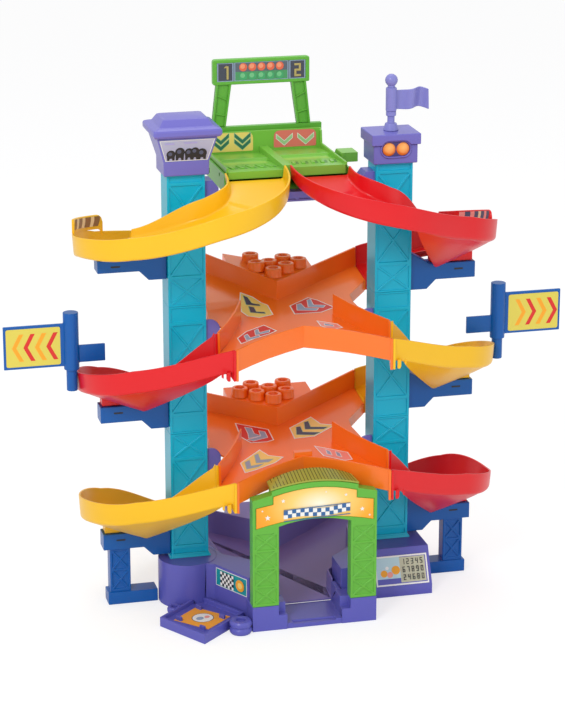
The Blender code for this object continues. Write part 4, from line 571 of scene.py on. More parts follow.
def ramp_paths():
    """Outer and inner plan lines of a top ramp, and the marks of its sections."""
    around, close = far_side(), near_side(-60.0)
    bend, elbow = RAMP_BEND, RAMP_ELBOW
    start, heading = (RAMP_INNER_X, RAMP_START_Y), (around[0][0] - 0.045, around[0][1] - 0.021)
    outer = [start] + bezier(start, (start[0], -0.075), (bend[0] - 0.075, bend[1]), bend, 9 * FINE)
    outer += bezier(bend, (bend[0] + 0.036, bend[1]), heading, around[0], 5 * FINE)[:-1] + around
    start, heading = (LAUNCH_HALF + 0.001, RAMP_START_Y), (close[0][0] - 0.030, close[0][1] - 0.018)
    inner = [start] + bezier(start, (start[0], -0.036), (elbow[0] - 0.036, elbow[1]), elbow, 9 * FINE)
    inner += bezier(elbow, (elbow[0] + 0.036, elbow[1]), heading, close[0], 5 * FINE)[:-1] + close
    return outer, inner, [m * FINE for m in (0, 9, 14, 20, 26, 30)]


def lane(name, node, side, paths, heights, trims, colour):
    """A smooth moulded lane with rounded rims and corners, in place of the faceted one."""
    outer, inner, marks = paths
    share = np.arange(len(outer))
    zo, zi, wo, wi = (eased(marks, values, share) for values in heights)
    outer, inner = [Vector(p) for p in outer], [Vector(p) for p in inner]
    for line, (at_start, at_end) in zip((outer, inner), trims):
        line[0] += (line[FINE] - line[0]).normalized() * at_start
        line[-1] += (line[-1 - FINE] - line[-1]).normalized() * at_end
    rings = []
    shell = LANE_SHELL
    for o, i, z_out, z_in, high, low in zip(outer, inner, zo, zi, wo, wi):
        across = (i - o).normalized()
        width = (i - o).length
        sag = BOWL_SAG if abs(z_out - z_in) > 0.004 else 0.0
        floor = [(DRAFT + (width - 2 * DRAFT) * t, z_out + (z_in - z_out) * t - sag * 4 * t * (1 - t))
                 for t in (0.2, 0.4, 0.6, 0.8)]
        corners = [(0.0, z_out + high, 0.0010), (DRAFT, z_out, 0.0035)]
        corners += [(u, z, 0.0) for u, z in floor]
        corners += [(width - DRAFT, z_in, 0.0030), (width, z_in + low, 0.0010), (width + shell, z_in + low, 0.0010),
                    (width + shell - DRAFT, z_in - shell, 0.0040)]
        corners += [(u, z - shell, 0.0) for u, z in floor[::-1]]
        corners += [(DRAFT - shell, z_out - shell, 0.0050), (-shell, z_out + high, 0.0010)]
        rings.append([(side * (o.x + across.x * u), o.y + across.y * u, z) for u, z in rounded(corners)])
    put(name, loft(rings, (1, -1)), colour, swaps=(node,), sharp=50)


def collar(name, side, outer, inner, floors, walls, reach, colour):
    """The thick flanged end of a lane at a junction."""
    width = math.dist(outer, inner)
    step, lip = 0.0006, COLLAR
    floor_out, floor_in = floors[0] - step, floors[1] - step
    profile = [(-lip, floor_out + walls[0], 0.002), (-step, floor_out + walls[0], 0.0),
               (DRAFT - step, floor_out, 0.003), (width - DRAFT + step, floor_in, 0.003),
               (width + step, floor_in + walls[1], 0.0),
               (width + lip, floor_in + walls[1], 0.001), (width + lip, floor_in - COLLAR_DROP, 0.002),
               (width * 0.5, (floor_in + floor_out) / 2 - COLLAR_DROP * 0.45, 0.020),
               (-lip, floor_out - COLLAR_DROP, 0.002)]
    along = Vector((inner[0] - outer[0], inner[1] - outer[1], 0.0))
    shape = slab(rounded(profile, 4), facing((*outer, 0.0), along, (0, 0, 1)), min(reach), max(reach))
    put(name, mirror(shape, side), colour, bevel=0.0005)


def lugs(name, side, floor_out, colour):
    """The small clips that show under a lane's outer wall next to its collar."""
    heading = (Vector(FRONT_INNER) - Vector(FRONT_OUTER)).normalized()
    away = Vector((heading.y, -heading.x))
    origin = Vector(FRONT_OUTER) + heading * 0.0006
    shapes = []
    for start, end, drop in ((0.0065, 0.0115, 0.0115), (0.0165, 0.0185, 0.006)):
        near, far = origin + away * start, origin + away * end
        place = facing((near.x, near.y, floor_out), (far - near).to_3d(), (0, 0, 1))
        length = (far - near).length
        outline = [(0, 0.001, 0), (length, 0.001, 0), (length, -drop * 0.7, 0.001), (length * 0.7, -drop, 0.001),
                   (0, -drop, 0.001)]
        shapes.append(slab(rounded(outline, 2), place, -0.0040, -0.0005))
    put(name, mirror(merged(*shapes), side), colour, bevel=0.0004)


def bowl_parts(name, side, level, arm_top, rear, rear_wall, floor_mid, colour):
    """The rest on the arm, the centre post and the collars that every bowl has."""
    x_low, x_high = POST_X + 0.004, ARM_END - 0.003
    outline = [(x_low, arm_top + 0.0006, 0), (x_high, arm_top + 0.0006, 0.001), (x_high, floor_mid[0], 0),
               (x_low, floor_mid[1], 0)]
    rest = slab(rounded(outline, 2), upright(0), -0.009, 0.009)
    put(name + "_rest", mirror(rest, side), colour, bevel=0.0006)
    radius = POST_RADIUS + DRAFT + 0.0006
    profile = [(0, arm_top + 0.0004), (radius - 0.001, arm_top + 0.0004), (radius, arm_top + 0.0014),
               (radius, arm_top + 0.0225), (radius - 0.0006, arm_top + 0.0237), (radius - 0.002, arm_top + 0.0243),
               (0, arm_top + 0.0245)]
    put(name + "_post", lathe(profile, (side * POST_X, 0, 0)), colour)
    collar(name + "_collar_rear", side, REAR_OUTER, REAR_INNER, rear, (rear_wall, 0.012), (-GAP / 2, -COLLAR), colour)
    if level is not None:
        floors = (level + DECK_SLOPE * FRONT_OUTER[1], level + DECK_SLOPE * FRONT_INNER[1])
        collar(name + "_collar_front", side, FRONT_OUTER, FRONT_INNER, floors, (RIM, RIM), (GAP / 2, COLLAR), colour)
        lugs(name + "_lugs", side, floors[0] - LANE_SHELL, colour)


def funnel(name, side, outer, floors, first, last, tip_z, colour):
    """The moulded cone under a bowl, from the foot of its outer wall down to the arm."""
    tip = Vector((0.2065, -0.0175))
    front, back = [], []
    for t in np.linspace(0, 1, 9):
        rows = ([], [])
        for index in range(first, last + 1, 2):
            start = Vector(outer[index])
            inward = (tip - start).normalized()
            top = start + inward * 0.0022
            low = tip - inward * 0.0045
            point = top + (low - top) * t
            top_z = floors[index] - LANE_SHELL + 0.0004
            z = top_z + (tip_z - top_z) * t ** 0.9
            rows[0].append((side * point.x, point.y, z))
            rows[1].append((side * (point.x + inward.x * 0.001), point.y + inward.y * 0.001, z + 0.0009))
        front.append(rows[0])
        back.append(rows[1])
    put(name, sheet(front, back), colour, sharp=60)


def turn(name, side, level, far_wall, colour):
    """One of the four U-turn bowls; far_wall holds the wall heights at its end and its far side."""
    arm_top = ARM_BASE_TOP + level - LOWER_DECK
    mid = level - TURN_DROP
    zo = [level + DECK_SLOPE * FRONT_OUTER[1], mid + 0.0185, mid, mid - 0.028,
          level - STORY + DECK_SLOPE * REAR_OUTER[1]]
    zi = [level + DECK_SLOPE * FRONT_INNER[1], arm_top + 0.019, arm_top + 0.0095, arm_top + 0.0060,
          level - STORY + DECK_SLOPE * REAR_INNER[1]]
    heights = (zo, zi, (RIM, TURN_WALL, *far_wall, RIM), (RIM, 0.010, 0.006, 0.006, 0.012))
    paths = turn_paths()
    lane(name + "_lane", name, side, paths, heights, (OUTER_TRIM, INNER_TRIM), colour)
    floors = eased(paths[2], zo, np.arange(len(paths[0])))
    funnel(name + "_cone", side, paths[0], floors, 2, 64, arm_top - 0.0065, colour)
    bowl_parts(name, side, level, arm_top, (zo[-1], zi[-1]), RIM, (mid - 0.001, arm_top + 0.0085), colour)


def ramp(name, side, arm_top, bowl, far_wall, fin, colour):
    """One of the two top ramps, with its raised fin."""
    outer_mid, inner_mid = arm_top + bowl[0], arm_top + bowl[1]
    ends = [UPPER_DECK + DECK_SLOPE * y + wing_lift(side * x, y) for x, y in (REAR_OUTER, REAR_INNER)]
    outer_late = max(outer_mid - 0.030, ends[0] + 0.010)
    zo = [RAMP_START, RAMP_START - 0.041, RAMP_START - 0.075, outer_mid, outer_late, ends[0]]
    zi = [RAMP_START, RAMP_START - 0.034, inner_mid + 0.018, inner_mid, inner_mid - 0.003, ends[1]]
    heights = (zo, zi, (0.018, 0.030, 0.029, 0.026, *far_wall), (0.012, 0.026, 0.010, 0.006, 0.006, 0.012))
    paths = ramp_paths()
    lane(name + "_lane", name, side, paths, heights, ((0.0, OUTER_TRIM[1]), (0.0, INNER_TRIM[1])), colour)
    if side > 0:
        floors = eased(paths[2], zo, np.arange(len(paths[0])))
        funnel(name + "_cone", side, paths[0], floors, 10 * FINE, 25 * FINE, arm_top - 0.0025, colour)
    bowl_parts(name, side, None, arm_top, ends, far_wall[1], (outer_mid - 0.001, inner_mid - 0.001), colour)
    fin_parts(name, side, fin, colour)


def fin_parts(name, side, fin, colour):
    """The raised fin on a top ramp's outer wall, with its printed stripes."""
    start, end, top, fall, round_at_end, stripes = fin
    corner, cells = 0.010, 8

    def at(angle, reach, drop):
        a = math.radians(angle)
        far = TURN_RADIUS + reach
        return side * (TURN_X + far * math.cos(a)), far * math.sin(a), top - fall * TURN_RADIUS * math.sin(a) - drop

    rings = []
    for angle in np.linspace(start, end, 41):
        away = math.radians(abs((end if round_at_end else start) - angle)) * TURN_RADIUS
        dip = corner - math.sqrt(corner ** 2 - (corner - away) ** 2) if away < corner else 0.0
        rings.append([at(angle, reach, dip + drop) for reach, drop in (
            (-0.0003, 0.020), (0.0027, 0.020), (0.0027, 0.0006), (0.0019, 0.0), (0.0005, 0.0), (-0.0003, 0.0006))])
    put(name + "_fin", loft(rings, (1, -1)), colour, sharp=60)
    bands = bmesh.new()
    names = list(dict.fromkeys(key for key, low, high in stripes))
    for key, low, high in stripes:
        for row in range(cells):
            corners = []
            for share, t in rect(low, row / cells, high, (row + 1) / cells):
                lean = 2.2 * math.sin(t * math.pi * 0.6) * (1 if round_at_end else -1)
                angle = start + (end - start) * share + lean
                corners.append(bands.verts.new(at(angle, -0.0006, 0.0155 - t * 0.0138)))
            bands.faces.new(corners).material_index = names.index(key)
    put(name + "_stripes", bands, names)


def make_lanes():
    """All six lanes."""
    left_stripes = [("brown", 0.12, 0.24), ("cream", 0.24, 0.34), ("brown", 0.34, 0.46), ("cream", 0.46, 0.55),
                    ("brown", 0.55, 0.70), ("cream", 0.70, 0.78), ("brown", 0.78, 0.90)]
    right_stripes = [("slate", 0.08, 0.16), ("pink", 0.16, 0.22), ("slate", 0.22, 0.30), ("cream", 0.30, 0.36),
                     ("slate", 0.36, 0.44), ("pink", 0.44, 0.52), ("slate", 0.52, 0.62), ("pink", 0.62, 0.72)]
    ramp("top_ramp_left", -1, ARM_TOP_LEFT, (0.0095, 0.0120), (0.0375, 0.0370),
         (12, 62, ARM_TOP_LEFT + 0.0555, 0.19, True, left_stripes), "yellow")
    ramp("top_ramp_right", 1, ARM_TOP_RIGHT, (0.0315, 0.0105), (0.028, RIM),
         (3, 60, ARM_TOP_RIGHT + 0.0685, 0.245, False, right_stripes), "red")
    turn("turn_middle_left", -1, UPPER_DECK, (0.025, 0.029), "red")
    turn("turn_middle_right", 1, UPPER_DECK, (0.025, 0.021), "yellow")
    turn("turn_lower_left", -1, LOWER_DECK, (0.030, 0.035), "yellow")
    turn("turn_lower_right", 1, LOWER_DECK, (0.021, 0.041), "red")


# CAD pieces that keep their own shape

def make_bodies():
    """Dress the pieces that keep their CAD shape in their plastic, and soften their edges."""
    for name, node in NODES.items():
        rules = [rule[1:] for rule in FINISHES if name.startswith(rule[0])]
        if not rules:
            continue
        key, width, joined, smooth = rules[-1]
        mesh = node.data
        mesh.materials.clear()
        mesh.materials.append(MATERIALS[key])
        mesh.polygons.foreach_set("material_index", [0] * len(mesh.polygons))
        if smooth:
            mesh.shade_smooth()
        else:
            mesh.shade_flat()
        if not width:
            continue
        node.modifiers.new("Weld", "WELD").merge_threshold = 0.00002
        if joined:
            flat = node.modifiers.new("Flat", "DECIMATE")
            flat.decimate_type = "DISSOLVE"
            flat.angle_limit = math.radians(0.6)
        soften(node, width)


# Prints

def arrow_sticker(name, level, ground, marks, ink):
    """A sticker on a deck: its ground and the dark marks on it, in plan millimetres."""
    items = [("white", grown(ground, 1.6)), (ink[0], ground)]
    items += [(ink[2], grown(mark, 0.9)) for mark in marks]
    items += [(ink[1], mark) for mark in marks]
    outlines = [(key, [(x / 1000, y / 1000) for x, y in points]) for key, points in items]
    print_on(name, outlines, deck(level), bend=level == UPPER_DECK)


def grown(points, width):
    """An outline grown evenly outwards."""
    ring = [Vector(p) for p in (points if area_of(points) > 0 else points[::-1])]
    moved = []
    for i, point in enumerate(ring):
        before = (point - ring[i - 1]).normalized()
        after = (ring[(i + 1) % len(ring)] - point).normalized()
        normal = Vector((before.y + after.y, -before.x - after.x))
        if normal.length < 1e-6:
            normal = Vector((before.y, -before.x))
        normal.normalize()
        reach = width / max(normal.dot(Vector((before.y, -before.x))), 0.45)
        moved.append(tuple(point + normal * reach))
    return moved


def chevron(u, v, width, drop, thick):
    """A V-shaped stripe with its point down at (u, v)."""
    half = width / 2
    return [(u - half, v + drop), (u - half, v + drop + thick), (u, v + thick), (u + half, v + drop + thick),
            (u + half, v + drop), (u, v)]


def star(u, v, radius):
    """A five-pointed star."""
    points = []
    for i in range(10):
        reach = radius if i % 2 == 0 else radius * 0.42
        angle = math.pi / 2 + i * math.pi / 5
        points.append((u + reach * math.cos(angle), v + reach * math.sin(angle)))
    return points


def disc(u, v, radius, sides=20, squash=1.0):
    """A round outline."""
    return [(u + radius * math.cos(a), v + radius * squash * math.sin(a))
            for a in np.linspace(0, 2 * math.pi, sides, endpoint=False)]


DIGITS = {"0": "abcdef", "1": "bc", "2": "abged", "3": "abgcd", "4": "fgbc", "5": "afgcd", "6": "afgedc", "7": "abc",
          "8": "abcdefg", "9": "abcdfg"}


def digit(figure, u, v, width, height, thick):
    """Segments of a plain figure, with its lower left corner at (u, v)."""
    half = height / 2
    boxes = {"a": (0, height - thick, width, height), "b": (width - thick, half, width, height),
             "c": (width - thick, 0, width, half), "d": (0, 0, width, thick), "e": (0, 0, thick, half),
             "f": (0, half, thick, height), "g": (0, half - thick / 2, width, half + thick / 2)}
    return [rect(u + x0, v + z0, u + x1, v + z1) for x0, z0, x1, z1 in (boxes[segment] for segment in DIGITS[figure])]


def make_deck_stickers():
    """The arrow stickers on the two crossings."""
    yellow_ink, red_ink = ("pale_yellow", "ink", "mint"), ("scarlet", "steel", "white")
    pink_ink, faded = ("pink", "steel", "white"), ("pale_yellow", "steel", "mint")
    arrow_sticker("sticker_upper_yellow", UPPER_DECK,
                  [(-48, 76), (-34, 67), (-18, 46), (-18, 15), (-38, 9), (-52, 16), (-57, 31), (-53, 58)],
                  [[(-46, 71), (-41, 67), (-38, 55), (-28, 50), (-28, 45), (-46, 52)],
                   [(-44, 46), (-38, 42), (-38, 27), (-27, 24), (-27, 19), (-46, 26)]], yellow_ink)
    arrow_sticker("sticker_upper_red", UPPER_DECK,
                  [(14, 38), (45, 60), (55, 51), (72, 24), (51, 12), (14, 12)],
                  [[(24, 41), (30, 43), (32, 28), (50, 24), (46, 18), (20, 23)],
                   [(42, 53), (47, 55), (46, 36), (62, 32), (58, 26), (38, 31)]], red_ink)
    arrow_sticker("sticker_upper_front_left", UPPER_DECK,
                  [(-81, -68), (-82, -52), (-66, -34), (-38, -18), (-26, -37), (-36, -44), (-58, -54)],
                  [[(-72, -46), (-67, -42), (-66, -54), (-52, -48), (-52, -53), (-72, -60)],
                   [(-54, -32), (-49, -28), (-50, -40), (-34, -34), (-36, -40), (-56, -46)]], red_ink)
    arrow_sticker("sticker_upper_front_right", UPPER_DECK,
                  [(39, -17), (62, -30), (66, -42), (52, -44), (40, -32)],
                  [[(46, -26), (56, -32), (56, -36), (45, -31)]], pink_ink)
    arrow_sticker("sticker_lower_red", LOWER_DECK,
                  [(-56, 76), (-16, 51), (-16, 20), (-26, 16), (-48, 17), (-58, 36)],
                  [[(-46, 63), (-38, 59), (-38, 42), (-30, 34), (-48, 30), (-46, 44)],
                   [(-29, 49), (-22, 45), (-22, 28), (-44, 21), (-50, 26), (-30, 33)]], red_ink)
    arrow_sticker("sticker_lower_yellow", LOWER_DECK,
                  [(17, 50), (54, 77), (62, 55), (80, 48), (44, 21), (16, 19)],
                  [[(26, 51), (32, 52), (31, 35), (55, 30), (45, 24), (21, 29)],
                   [(41, 64), (47, 66), (46, 48), (70, 44), (63, 39), (37, 43)]], yellow_ink)
    arrow_sticker("sticker_lower_front_left", LOWER_DECK,
                  [(-76, -40), (-42, -8), (-34, -25), (-16, -33), (-30, -46), (-62, -62), (-76, -67)],
                  [[(-70, -39), (-63, -34), (-65, -51), (-46, -47), (-55, -54), (-72, -58)],
                   [(-52, -21), (-47, -18), (-48, -36), (-30, -36), (-38, -43), (-55, -43)]], faded)
    arrow_sticker("sticker_lower_front_right", LOWER_DECK,
                  [(38, -10), (77, -35), (78, -55), (68, -56), (43, -38)],
                  [[(50, -22), (54, -28), (54, -38), (49, -34)],
                   [(62, -30), (66, -35), (66, -46), (61, -42)]], pink_ink)


def make_launch_prints():
    """The chevron panels behind the start lanes."""
    for side, word, ground, ink, edge, z0, rows in (
            (-1, "left", "pale_yellow", "leaf_ink", "mint", 0.6025, (0.0020, 0.0105)),
            (1, "right", "rose", "mint", "white", 0.6050, (0.003,))):
        low, high = sorted((side * 0.0150, side * 0.0765))
        items = [(ground, round_rect(low, z0, high, 0.6292, 0.002, 0.009))]
        for u in (-0.0155, 0.0155):
            for rise in rows:
                mark = chevron((low + high) / 2 + u, z0 + rise, 0.023, 0.010, 0.0055)
                items += [(edge, grown(mark, 0.0007)), (ink, mark)]
        print_on("start_panel_" + word, items, upright(LAUNCH_BACK - 0.0036), "start_tray")


def make_cap_prints():
    """The window of the spectators' box."""
    lean = Vector((0.0, -0.008, 0.034))
    place = facing((-TOWER_X, -0.026, 0.630), (1, 0, 0), lean) @ Matrix.Translation((0, 0, -0.0003))
    border = [(-0.0285, 0.0020), (0.0285, 0.0020), (0.0375, 0.0322), (-0.0375, 0.0322)]
    items = [("frame_blue", grown(border, 0.0006)), ("white", border), ("window", grown(border, -0.0007))]
    for u, radius, top in ((-0.0215, 0.0062, 0.0180), (-0.0095, 0.0066, 0.0215), (0.0030, 0.0062, 0.0200),
                           (0.0110, 0.0058, 0.0210), (0.0205, 0.0066, 0.0190)):
        items.append(("dark", disc(u, top - radius, radius, 16)))
        items.append(("dark", [(u - radius * 0.8, 0.0030), (u - radius * 0.35, 0.0030), (u - radius * 0.2, 0.0065),
                              (u + radius * 0.2, 0.0065), (u + radius * 0.35, 0.0030), (u + radius * 0.8, 0.0030),
                              (u + radius * 0.9, top - radius), (u - radius * 0.9, top - radius)]))
        items.append(("slate", disc(u - 0.001, top - radius * 0.9, radius * 0.45, 12)))
    items.append(("pale_violet", [(-0.0300, 0.0265), (-0.0180, 0.0265), (-0.0170, 0.0285), (-0.0305, 0.0285)]))
    items.append(("pale_violet", [(-0.0040, 0.0270), (0.0130, 0.0270), (0.0140, 0.0288), (-0.0045, 0.0288)]))
    print_on("box_window_print", items, place)


def make_arch_prints():
    """Stars on the banner and the tile lines of the roof."""
    stars = [(-0.0660, 0.1640, 0.0042), (-0.0445, 0.1865, 0.0032), (0.0660, 0.1655, 0.0036), (0.0430, 0.1880, 0.0026),
             (0.0765, 0.1560, 0.0018), (-0.0735, 0.1745, 0.0018), (0.0150, 0.1945, 0.0016), (-0.0200, 0.1720, 0.0015)]
    items = [("white", star(*spot)) for spot in stars]
    cell = 0.0058
    for row in range(2):
        for column in range(16):
            u = -0.0440 + column * cell
            v = 0.1605 + row * cell + column * 0.00018 + 0.0016 * math.sin(column * 0.5)
            items.append(("banner_blue" if (row + column) % 2 else "white", rect(u, v, u + cell, v + cell)))
    for z in (0.1570, 0.1726):
        ribbon = [(-0.0440, z), (0.0488, z + 0.0030), (0.0488, z + 0.0042), (-0.0440, z + 0.0012)]
        items.append(("banner_blue", ribbon))
    print_on("banner_stars", items, upright(-0.15322))
    step_x, step_top, crest = 0.0605, 0.2015, 0.2101
    lines = bmesh.new()
    count, width = 26, 0.00045
    for i in range(1, count):
        ends = []
        for half, z_side, z_mid, y in ((step_x + 0.001, step_top, crest, -0.1525),
                                       (step_x - 0.001, step_top + 0.001, crest + 0.0064, -0.1215)):
            for nudge in (-width, width):
                x = half * (2 * i / count - 1) + nudge
                z = z_mid - (z_mid - z_side) * (x / half) ** 2 + GAP + 0.0025 + 0.00018
                ends.append(lines.verts.new((x, y, z)))
        lines.faces.new((ends[0], ends[1], ends[3], ends[2]))
    put("roof_tile_lines", lines, "tile_line")


def make_base_prints():
    """The scoreboard, the flag panel and the pit sticker."""
    foot, head = Vector((0.1475, -0.0830, 0.012)), Vector((0.1475, -0.0565, TOWER_BOTTOM + 0.004))
    place = facing(foot, (1, 0, 0), head - foot)
    low, high, edge = 0.0058, 0.0462, 0.0364
    items = [("white", rect(-0.0378, low, 0.0378, high)),
             ("base_violet", rect(-edge, low + 0.0014, edge, high - 0.0014)),
             ("sky", rect(-edge, 0.0150, -0.0020, high - 0.0014)),
             ("speckle", rect(-0.0020, 0.0085, 0.0350, high - 0.0022)),
             ("amber", disc(-0.026, 0.0225, 0.0050)), ("pink", disc(-0.0175, 0.0205, 0.0042)),
             ("amber", disc(-0.0085, 0.0265, 0.0062)), ("white", disc(-0.021, 0.0300, 0.0025))]
    for row, text in enumerate(("12345", "67890", "24680")):
        for column, figure in enumerate(text):
            segments = digit(figure, 0.0015 + column * 0.0066, 0.0335 - row * 0.0110, 0.0036, 0.0078, 0.0010)
            items += [("dark", segment) for segment in segments]
    print_on("scoreboard_print", items, place @ Matrix.Translation((0, 0, 0.0013)))
    corner, facet = Vector((-0.084, -0.1155, 0)), Vector((-0.118, -0.055, 0))
    items = [("white", rect(0.003, 0.0345, 0.0660, 0.0605)), ("teal_print", rect(0.004, 0.0355, 0.0650, 0.0595))]
    for i in range(7):
        for j in range(5):
            u, v = 0.0120 + i * 0.0040, 0.0365 + j * 0.0042
            items.append(("dark" if (i + j) % 2 else "white", rect(u, v, u + 0.0040, v + 0.0042)))
    items += [("amber", disc(0.053, 0.0475, 0.0085)), ("pale_yellow", disc(0.053, 0.0475, 0.0045))]
    print_on("flag_panel_print", items, facing(facet, corner - facet, (0, 0, 1)))
    near, tip = Vector((-0.206, -0.103)), Vector((-0.1595, -0.1777))
    turn_angle = math.radians(42.69)
    along = Vector((math.cos(turn_angle), math.sin(turn_angle)))
    centre = (near + tip) / 2 + along * 0.047
    items = [("amber", rect(-0.0265, -0.0290, 0.0265, 0.0290)), ("dark", disc(0.002, 0.0, 0.0158, 28, 0.95)),
             ("white", disc(0.002, 0.0, 0.0148, 28, 0.95)), ("steel", disc(-0.002, 0.002, 0.0060, 16, 0.8)),
             ("pink", disc(0.008, -0.003, 0.0045, 16, 0.8))]
    print_on("pit_sticker", items, facing((centre.x, centre.y, 0.008), (*along, 0), (-along.y, along.x, 0)))


def make_signs_prints():
    """The inset panels of the two side signs."""
    for side, word in SIDES:
        left, right = sorted((side * 0.3180, side * 0.3918))
        items = [("sign_yellow", round_rect(left, 0.3565, right, 0.4095, 0.003))]
        tip = 0.010 * side
        for i in range(4):
            u = left + (0.010 if side > 0 else 0.018) + i * 0.0155
            arrow = [(u, 0.364), (u + 0.006, 0.364), (u + 0.006 + tip, 0.383), (u + 0.006, 0.402), (u, 0.402),
                     (u + tip, 0.383)]
            items.append(("scarlet" if i % 2 else "amber", arrow))
        print_on("sign_print_" + word, items, upright(-0.0092), "sign_" + word)


# Launcher, gantry and caps

def tray_floor(y, rise=0.0):
    """Height of the start tray's floor."""
    return LAUNCH_FLOOR - LAUNCH_FALL * y + rise


def crosswise(outline, x0, x1):
    """An outline in Y and Z extruded along X."""
    return slab(outline, facing((0, 0, 0), (0, 1, 0), (0, 0, 1)), min(x0, x1), max(x0, x1))


def make_tray():
    """The start tray: floors, lips, sides, divider, back wall and ribs, with painted shadows beside the ribs."""
    front, back, wall_top = 0.0015, LAUNCH_BACK, LAUNCH_FLOOR + 0.0245
    half, divider, lip = LAUNCH_HALF, 0.0060, LAUNCH_FLOOR + 0.0055
    under, rear, step = 0.5952, tray_floor(back), 0.088
    wall = [(front, under), (back, rear - 0.003), (back, wall_top), (back - 0.006, wall_top - 0.004),
            (back - 0.009, rear + 0.0135), (front, lip)]
    ridge = [(front, under), (back, rear - 0.003), (back, rear + 0.0125), (front, lip)]
    pieces = []
    rises = ((-1, "left", 0.0), (1, "right", 0.0022))
    for side, word, rise in rises:
        floor = [(front, tray_floor(front, rise)), (front, under), (front + 0.0022, under),
                 (front + 0.0040, tray_floor(front) - 0.0030), (back, rear - 0.0028),
                 (back, tray_floor(back, rise + 0.0035)), (step, tray_floor(step, rise + 0.0035)),
                 (step - 0.003, tray_floor(step - 0.003, rise))]
        pieces += [crosswise(floor, side * (divider - 0.001), side * (half - 0.0005)),
                   crosswise(wall, side * half, side * (half - 0.0032))]
    pieces += [crosswise(ridge, -divider, divider),
               slab(round_rect(-half, 0.594, half, wall_top, 0.0, 0.006, 5), upright(back), 0.0, 0.0034)]
    put("start_tray_body", merged(*pieces), "light_green", "start_tray", bevel=0.0007,
        swaps=("start_tray",))
    for side, word, rise in rises:
        place = deck(LAUNCH_FLOOR + rise, -LAUNCH_FALL)
        ribs, painted_rib_shadows = [], []
        for i in range(5):
            x = 0.0130 + i * 0.0135
            rib = ((0, 0.024), (0.0050, 0.024), (0.0085, 0.046), (0.0035, 0.046))
            outline = [(side * (x + u), v) for u, v in rib]
            ribs.append(slab(outline, place, -0.0002, 0.0016))
            # Painted shadow of each rib: its outline moved to the right in darker green, the same way on both sides
            painted_rib_shadows.append(("painted_rib_shadow_green", [(u + 0.0046, v) for u, v in outline]))
        put("start_ribs_" + word, merged(*ribs), "light_green", "start_tray", bevel=0.0004)
        print_on("start_painted_rib_shadows_" + word, painted_rib_shadows, place, "start_tray", 0.0001)
        band = rect(side * 0.0120, 0.060, side * 0.0760, 0.080)
        print_on("start_band_" + word, [("pale_lime", band)], place, "start_tray", 0.0001)
    pins = [lathe([(0, 0), (0.0024, 0), (0.0024, 0.0026), (0, 0.0026)], (side * half, 0.030, 0.597), 20, (side, 0, 0))
            for side in (-1, 1)]
    put("start_tray_pins", merged(*pins), "light_green", "start_tray")


def make_gantry():
    """The start gantry: a rounded sign box on two ribbed legs, with its lamps and figures."""
    (_, y0, z0), (_, y1, z1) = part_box("gantry")
    low, half, deep = z1 - 0.036, 0.0695, y1 - y0
    place = upright(y1)
    pieces = [slab(round_rect(-half, low, half, z1, 0.0035, 0.0045, 6), place, 0.0, deep - 0.0014)]
    for foot in (z1 - 0.0049, low + 0.0004):
        bar = round_rect(0.0004 - half, foot, half - 0.0004, foot + 0.0045, 0.002, 0.003)
        pieces.append(slab(bar, place, 0.002, deep))
    for side in (-1, 1):
        edge = side * (half - 0.0006)
        pieces.append(slab(rect(edge, low + 0.0025, edge - side * 0.0052, z1 - 0.0025), place, 0.003, deep - 0.0002))
        for t0, t1, tall, share0, share1, thick in GANTRY_LEG:
            corners = []
            for t, share in ((t0, share0), (t1, share1), (t1 + tall, share1), (t0 + tall, share0)):
                outer, inner = 0.0710 - 0.0065 * t, 0.0515 - 0.0085 * t
                corners.append((side * (outer + (inner - outer) * share), z0 + (low + 0.001 - z0) * t))
            pieces.append(slab(corners, place, 0.0, thick))
    put("gantry_body", merged(*pieces), "green", bevel=0.0008, swaps=("gantry", "gantry_panel"))
    left, right, middle = -half + 0.0058, half - 0.0058, (low + z1) / 2
    bottom, top = low + 0.0046, z1 - 0.0046
    items = []
    for key, u0, u1, v0, v1 in (
            ("panel_grey", left, right, bottom, top),
            ("frame_blue", left + 0.0005, left + 0.0235, bottom, top),
            ("slate_dark", left + 0.0020, left + 0.0220, bottom + 0.0014, top - 0.0014),
            ("frame_blue", left + 0.0250, right - 0.0250, bottom, top),
            ("panel_green", left + 0.0262, right - 0.0262, bottom + 0.0012, top - 0.0012),
            ("panel_mauve", left + 0.0262, right - 0.0262, middle - 0.0002, top - 0.0012),
            ("frame_blue", right - 0.0235, right - 0.0005, bottom, top),
            ("slate_dark", right - 0.0220, right - 0.0020, bottom + 0.0014, top - 0.0014)):
        items.append((key, rect(u0, v0, u1, v1)))
    for column in range(5):
        u = -0.0262 + column * 0.0131
        for key, z in (("lamp_red", middle + 0.0062), ("lamp_green", middle - 0.0066)):
            # Each printed lamp gets a smaller, lighter disc up and to the left: a painted highlight
            items += [(key, disc(u, z, 0.0057)), (key + "_light", disc(u - 0.0008, z + 0.0012, 0.0034))]
    for figure, u in (("1", left + 0.0070), ("2", right - 0.0165)):
        items += [("figure_gold", segment) for segment in digit(figure, u, bottom + 0.0035, 0.0095, 0.0185, 0.0030)]
    items.append(("figure_gold", [(left + 0.0093, top - 0.0072), (left + 0.0135, top - 0.0035),
                                  (left + 0.0135, top - 0.0072)]))
    print_on("gantry_print", items, upright(y0 + 0.0013))


